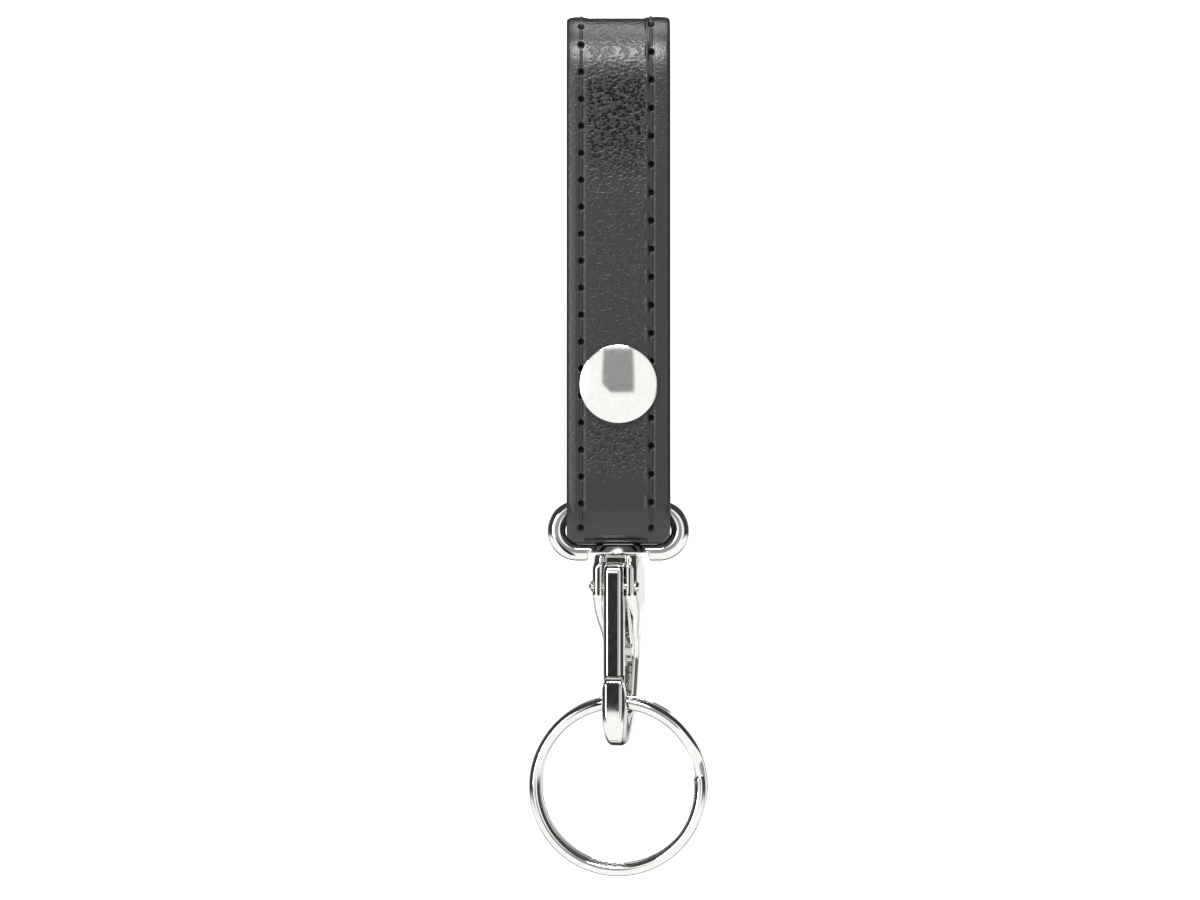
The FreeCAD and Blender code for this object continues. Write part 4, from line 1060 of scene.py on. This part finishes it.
def grain_leather():
    """Black leather: small pits, darkened as painted shade, between paler ridges, and smooth with faint
    streaks along the edges.
    """
    material, tree, shader = new_material("grain_leather")
    place = add(tree, "ShaderNodeUVMap", uv_map="flat").outputs["UV"]
    strength = add(tree, "ShaderNodeAttribute", attribute_name="grain").outputs["Fac"]
    wander = add(tree, "ShaderNodeTexNoise")
    wander.inputs["Scale"].default_value = WANDER_SCALE
    wander.inputs["Detail"].default_value = 2
    tree.links.new(place, wander.inputs["Vector"])
    warp = add(tree, "ShaderNodeVectorMath", operation="MULTIPLY_ADD")
    tree.links.new(wander.outputs["Color"], warp.inputs[0])
    warp.inputs[1].default_value = (WANDER_REACH, WANDER_REACH, 0)
    tree.links.new(place, warp.inputs[2])
    sized = add(tree, "ShaderNodeVectorMath", operation="MULTIPLY")
    tree.links.new(warp.outputs["Vector"], sized.inputs[0])
    sized.inputs[1].default_value = PITS_PER_MM
    cells = add(tree, "ShaderNodeTexVoronoi", feature="SMOOTH_F1")
    cells.inputs["Scale"].default_value = 1
    cells.inputs["Smoothness"].default_value = 0.25
    cells.inputs["Randomness"].default_value = 0.95
    tree.links.new(sized.outputs["Vector"], cells.inputs["Vector"])
    ridge = add(tree, "ShaderNodeMapRange", interpolation_type="SMOOTHSTEP")
    tree.links.new(cells.outputs["Distance"], ridge.inputs["Value"])
    ridge.inputs["From Min"].default_value = PIT_FLOOR
    ridge.inputs["From Max"].default_value = PIT_RIM
    pit = add(tree, "ShaderNodeMath", operation="SUBTRACT")
    pit.inputs[0].default_value = 1
    tree.links.new(ridge.outputs["Result"], pit.inputs[1])
    pits = add(tree, "ShaderNodeMath", operation="MULTIPLY")
    tree.links.new(pit.outputs["Value"], pits.inputs[0])
    tree.links.new(strength, pits.inputs[1])
    along = add(tree, "ShaderNodeVectorMath", operation="MULTIPLY")
    tree.links.new(place, along.inputs[0])
    along.inputs[1].default_value = STREAKS_PER_MM
    streaks = noise(tree, along.outputs["Vector"], 1, 4, 0.6)
    normal = bump(tree, streaks, 0.5, STREAK_HEIGHT)
    normal = bump(tree, pits.outputs["Value"], 1, PIT_DEPTH, normal, invert=True)
    tree.links.new(normal, shader.inputs["Normal"])
    hollow = add(tree, "ShaderNodeMath", operation="MAXIMUM")
    tree.links.new(pits.outputs["Value"], hollow.inputs[0])
    # Painted shade in the crease across the fold: it darkens the colour and lowers the gloss there.
    crease_shade = add(tree, "ShaderNodeAttribute", attribute_name="crease").outputs["Fac"]
    tree.links.new(crease_shade, hollow.inputs[1])
    dark = hollow.outputs["Value"]
    # Painted shade: the colour runs to near black in the pits of the grain and in the fold's crease.
    colour = ramp(tree, dark, 0.05, 0.85, LEATHER_BLACK, PAINTED_SHADE_BLACK)
    tree.links.new(colour, shader.inputs["Base Color"])
    rough = ramp(tree, dark, 0.1, 0.8, (0.30,) * 3, (0.62,) * 3)
    tree.links.new(rough, shader.inputs["Roughness"])
    # Less gloss in the pits and the crease: painted shade as well.
    gloss = ramp(tree, dark, 0.1, 1, (0.62,) * 3, (0.14,) * 3)
    tree.links.new(gloss, shader.inputs["Specular IOR Level"])
    return material


def lining_material():
    """Matt black split leather."""
    material, tree, shader = new_material("lining_leather")
    place = add(tree, "ShaderNodeUVMap", uv_map="flat").outputs["UV"]
    nap = noise(tree, place, NAP_SCALE, 6, 0.7)
    tree.links.new(bump(tree, nap, 0.5, NAP_HEIGHT), shader.inputs["Normal"])
    colour = ramp(tree, nap, 0.3, 0.7, (0.010, 0.010, 0.010), (0.026, 0.025, 0.025))
    tree.links.new(colour, shader.inputs["Base Color"])
    shader.inputs["Roughness"].default_value = 0.85
    return material


def thread_material():
    """Black waxed thread."""
    material, tree, shader = new_material("thread")
    place = add(tree, "ShaderNodeTexCoord").outputs["Object"]
    fibre = noise(tree, place, FIBRE_SCALE, 3)
    tree.links.new(bump(tree, fibre, 0.3, FIBRE_HEIGHT), shader.inputs["Normal"])
    colour = ramp(tree, fibre, 0.3, 0.7, (0.016,) * 3, (0.03,) * 3)
    tree.links.new(colour, shader.inputs["Base Color"])
    shader.inputs["Roughness"].default_value = 0.5
    return material


def nickel(name, roughness, waviness):
    """Nickel plate, bright, with a slight unevenness of the surface below it."""
    material, tree, shader = new_material(name)
    place = add(tree, "ShaderNodeTexCoord").outputs["Object"]
    shader.inputs["Metallic"].default_value = 1
    haze = noise(tree, place, HAZE_SCALE, 4)
    colour = ramp(tree, haze, 0.3, 0.7, (0.84, 0.835, 0.81), (0.90, 0.895, 0.875))
    tree.links.new(colour, shader.inputs["Base Color"])
    grey = [(roughness * share,) * 3 for share in (0.8, 1.3)]
    tree.links.new(ramp(tree, haze, 0.35, 0.7, *grey), shader.inputs["Roughness"])
    wave = noise(tree, place, WAVE_SCALE, 2)
    tree.links.new(bump(tree, wave, waviness, WAVE_HEIGHT), shader.inputs["Normal"])
    return material


def spring_steel():
    """Grey drawn steel, with faint streaks."""
    material, tree, shader = new_material("spring_steel")
    place = add(tree, "ShaderNodeTexCoord").outputs["Object"]
    shader.inputs["Metallic"].default_value = 1
    streak = noise(tree, place, STEEL_SCALE, 3)
    colour = ramp(tree, streak, 0.3, 0.7, (0.42, 0.42, 0.43), (0.56, 0.56, 0.57))
    tree.links.new(colour, shader.inputs["Base Color"])
    shader.inputs["Roughness"].default_value = 0.3
    return material


def clothe(piece, material):
    piece.data.materials.clear()
    piece.data.materials.append(material)


PLATED = ("snap_barrel", "snap_socket", "snap_stud", "snap_post", "gate_pin")
CAST = ("swivel_rivet", "gate")
STEEL = ("snap_grip_ring",)


def finish_metal():
    plated = nickel("nickel_plated", 0.07, 0.02)
    cast = nickel("nickel_cast", 0.07, 0.04)
    steel = spring_steel()
    for names, material, slot in (
        (PLATED, plated, "nickel"),
        (CAST, cast, "nickel"),
        (STEEL, steel, "spring_steel"),
    ):
        for name in names:
            clothe(nodes[name], material)
            nodes[name].data.shade_smooth()
            nodes[name].data.set_sharp_from_angle(angle=SHARP)
    for piece in spring_pieces():
        clothe(piece, steel)
    clothe(hook_piece(), cast)
    clothe(loop_piece(), cast)
    clothe(ring_piece(), plated)
    clothe(cap_piece(), nickel("nickel_satin", 0.08, 0.01))


# Stage: a white sweep of paper, soft lights and the camera


def backdrop():
    """A round floor that curves up into a wall beyond every camera place, seen by the camera alone."""
    floor_z = -0.19
    floor_radius = 1.3
    cove = 0.3
    wall_top = 1.5
    columns = 96
    profile = [(0.05, floor_z), (floor_radius, floor_z)]
    for angle in np.linspace(0, math.pi / 2, 25)[1:]:
        profile.append((floor_radius + cove * math.sin(angle), floor_z + cove - cove * math.cos(angle)))
    profile.append((floor_radius + cove, wall_top))
    turns = [2 * math.pi * column / columns for column in range(columns)]
    points = [(out * math.cos(turn), out * math.sin(turn), z) for out, z in profile for turn in turns]
    faces = grid_faces(len(profile), columns) + [tuple(range(columns))]
    paper = make_mesh("backdrop", points, faces)
    material, tree, shader = new_material("white_paper")
    shader.inputs["Base Color"].default_value = (0.9, 0.9, 0.9, 1)
    shader.inputs["Roughness"].default_value = 0.9
    shader.inputs["Emission Color"].default_value = (1, 1, 1, 1)
    shader.inputs["Emission Strength"].default_value = 0.9
    paper.data.materials.append(material)
    paper.visible_glossy = False
    paper.visible_diffuse = False
    paper.visible_shadow = False


def flag():
    """A dark card before the hook and to its left, hidden from the camera, that its flats mirror."""
    left, right = -22.5 * MM, -11.5 * MM
    low, high = -105 * MM, -71.5 * MM
    y = -46 * MM
    corners = [(left, y, low), (right, y, low), (right, y, high), (left, y, high)]
    card = make_mesh("flag", corners, [(0, 1, 2, 3)])
    material, tree, shader = new_material("black_card")
    shader.inputs["Base Color"].default_value = (0.05, 0.05, 0.05, 1)
    shader.inputs["Roughness"].default_value = 1
    shader.inputs["Specular IOR Level"].default_value = 0
    card.data.materials.append(material)
    card.visible_camera = False
    card.visible_diffuse = False
    card.visible_shadow = False


def soft_light(name, place, aim, wide, high, watts):
    data = bpy.data.lights.new(name, "AREA")
    data.shape = "RECTANGLE"
    data.size = wide
    data.size_y = high
    data.energy = watts
    light = bpy.data.objects.new(name, data)
    bpy.context.scene.collection.objects.link(light)
    light.location = place
    direction = Vector(aim) - Vector(place)
    light.rotation_euler = direction.to_track_quat("-Z", "Y").to_euler()


def lights():
    """A key light high in front, a small one over the bend, a tall one at the left and two behind."""
    middle = (0, 0, -0.04)
    bend = (0, -0.004, 0.03)
    soft_light("light_key", place=(-0.08, -0.70, 0.60), aim=middle, wide=0.47, high=0.2, watts=6.3)
    soft_light("light_top", place=(0, -0.02, 0.13), aim=bend, wide=0.08, high=0.07, watts=0.075)
    soft_light("light_left", place=(-0.50, -0.74, 0.06), aim=middle, wide=0.16, high=0.5, watts=1.4)
    for side in (-0.60, 0.60):
        soft_light("light_rear", place=(side, 0.60, -0.10), aim=middle, wide=0.4, high=0.8, watts=0.75)


def world():
    """White paper in front, behind and below, a dark room above and beside, and a person at the camera."""
    paper_level = 1.03
    room_level = 0.05
    person_shade = 0.72
    soft = 0.03
    surround = bpy.data.worlds.new("studio")
    bpy.context.scene.world = surround
    surround.use_nodes = True
    tree = surround.node_tree
    background = tree.nodes["Background"]
    place = add(tree, "ShaderNodeTexCoord").outputs["Generated"]
    parts = add(tree, "ShaderNodeSeparateXYZ")
    tree.links.new(place, parts.inputs["Vector"])
    across, depth, up = (parts.outputs[axis] for axis in "XYZ")

    def compute(operation, *values):
        node = add(tree, "ShaderNodeMath", operation=operation)
        for index, value in enumerate(values):
            if hasattr(value, "links"):
                tree.links.new(value, node.inputs[index])
            else:
                node.inputs[index].default_value = value
        return node.outputs["Value"]

    def fade(value, start, end):
        node = add(tree, "ShaderNodeMapRange", interpolation_type="SMOOTHSTEP")
        tree.links.new(value, node.inputs["Value"])
        node.inputs["From Min"].default_value = start
        node.inputs["From Max"].default_value = end
        return node.outputs["Result"]

    toward = compute("MAXIMUM", compute("MULTIPLY", depth, -1.0), 0.001)
    aside = compute("DIVIDE", across, toward)
    above = compute("DIVIDE", up, toward)

    def patch(left, right, low, high, cut):
        """A soft-edged dark shape in front, between four slopes as seen from the object, less a corner."""
        mask = fade(aside, left - soft, left + soft)
        mask = compute("MULTIPLY", mask, fade(aside, right + soft, right - soft))
        mask = compute("MULTIPLY", mask, fade(above, low - soft, low + soft))
        mask = compute("MULTIPLY", mask, fade(above, high + soft, high - soft))
        corner = left + low + cut
        return compute("MULTIPLY", mask, fade(compute("ADD", aside, above), corner - soft, corner + soft))

    in_front = fade(depth, -0.78, -0.86)
    behind = fade(depth, 0.84, 0.96)
    below = compute("MULTIPLY", fade(up, -0.1, -0.3), fade(depth, 0.55, 0.25))
    paper = compute("MAXIMUM", compute("MAXIMUM", in_front, behind), below)
    person = patch(left=-0.24, right=0.24, low=-0.11, high=0.6, cut=0.13)
    shade = compute("MULTIPLY", person, person_shade)
    lit = compute("MULTIPLY", paper, compute("SUBTRACT", 1.0, shade))
    level = compute("MULTIPLY_ADD", lit, paper_level, room_level)
    tree.links.new(level, background.inputs["Strength"])
    background.inputs["Color"].default_value = (1, 1, 1, 1)


def camera():
    """Straight on from the front, with the photograph's middle and scale at the strap's face."""
    pixels_per_mm = 5.2
    photo_wide = 1200
    distance = 0.7
    front = -GLUE_REACH - OUTER_THICK
    middle_x = -3.56 * MM
    middle_z = -51.6 * MM
    data = bpy.data.cameras.new("camera")
    data.sensor_width = 36
    data.lens = data.sensor_width * distance / (photo_wide / pixels_per_mm * MM)
    eye = bpy.data.objects.new("camera", data)
    bpy.context.scene.collection.objects.link(eye)
    eye.location = (middle_x, front - distance, middle_z)
    eye.rotation_euler = (math.pi / 2, 0, 0)
    data.clip_start = 0.01
    bpy.context.scene.camera = eye


def finish_leather():
    outer = leather("outer", outer_at, OUTER_SPACING)
    lining = leather("lining", lining_section, LINING_SPACING)
    for pieces, material, slot in (
        (outer, grain_leather(), "grain_leather"),
        (lining, lining_material(), "lining_leather"),
        (stitching(), thread_material(), "thread"),
    ):
        for piece in pieces:
            clothe(piece, material)


finish_leather()
finish_metal()
backdrop()
flag()
lights()
world()
camera()
bpy.context.scene.view_settings.view_transform = "Standard"
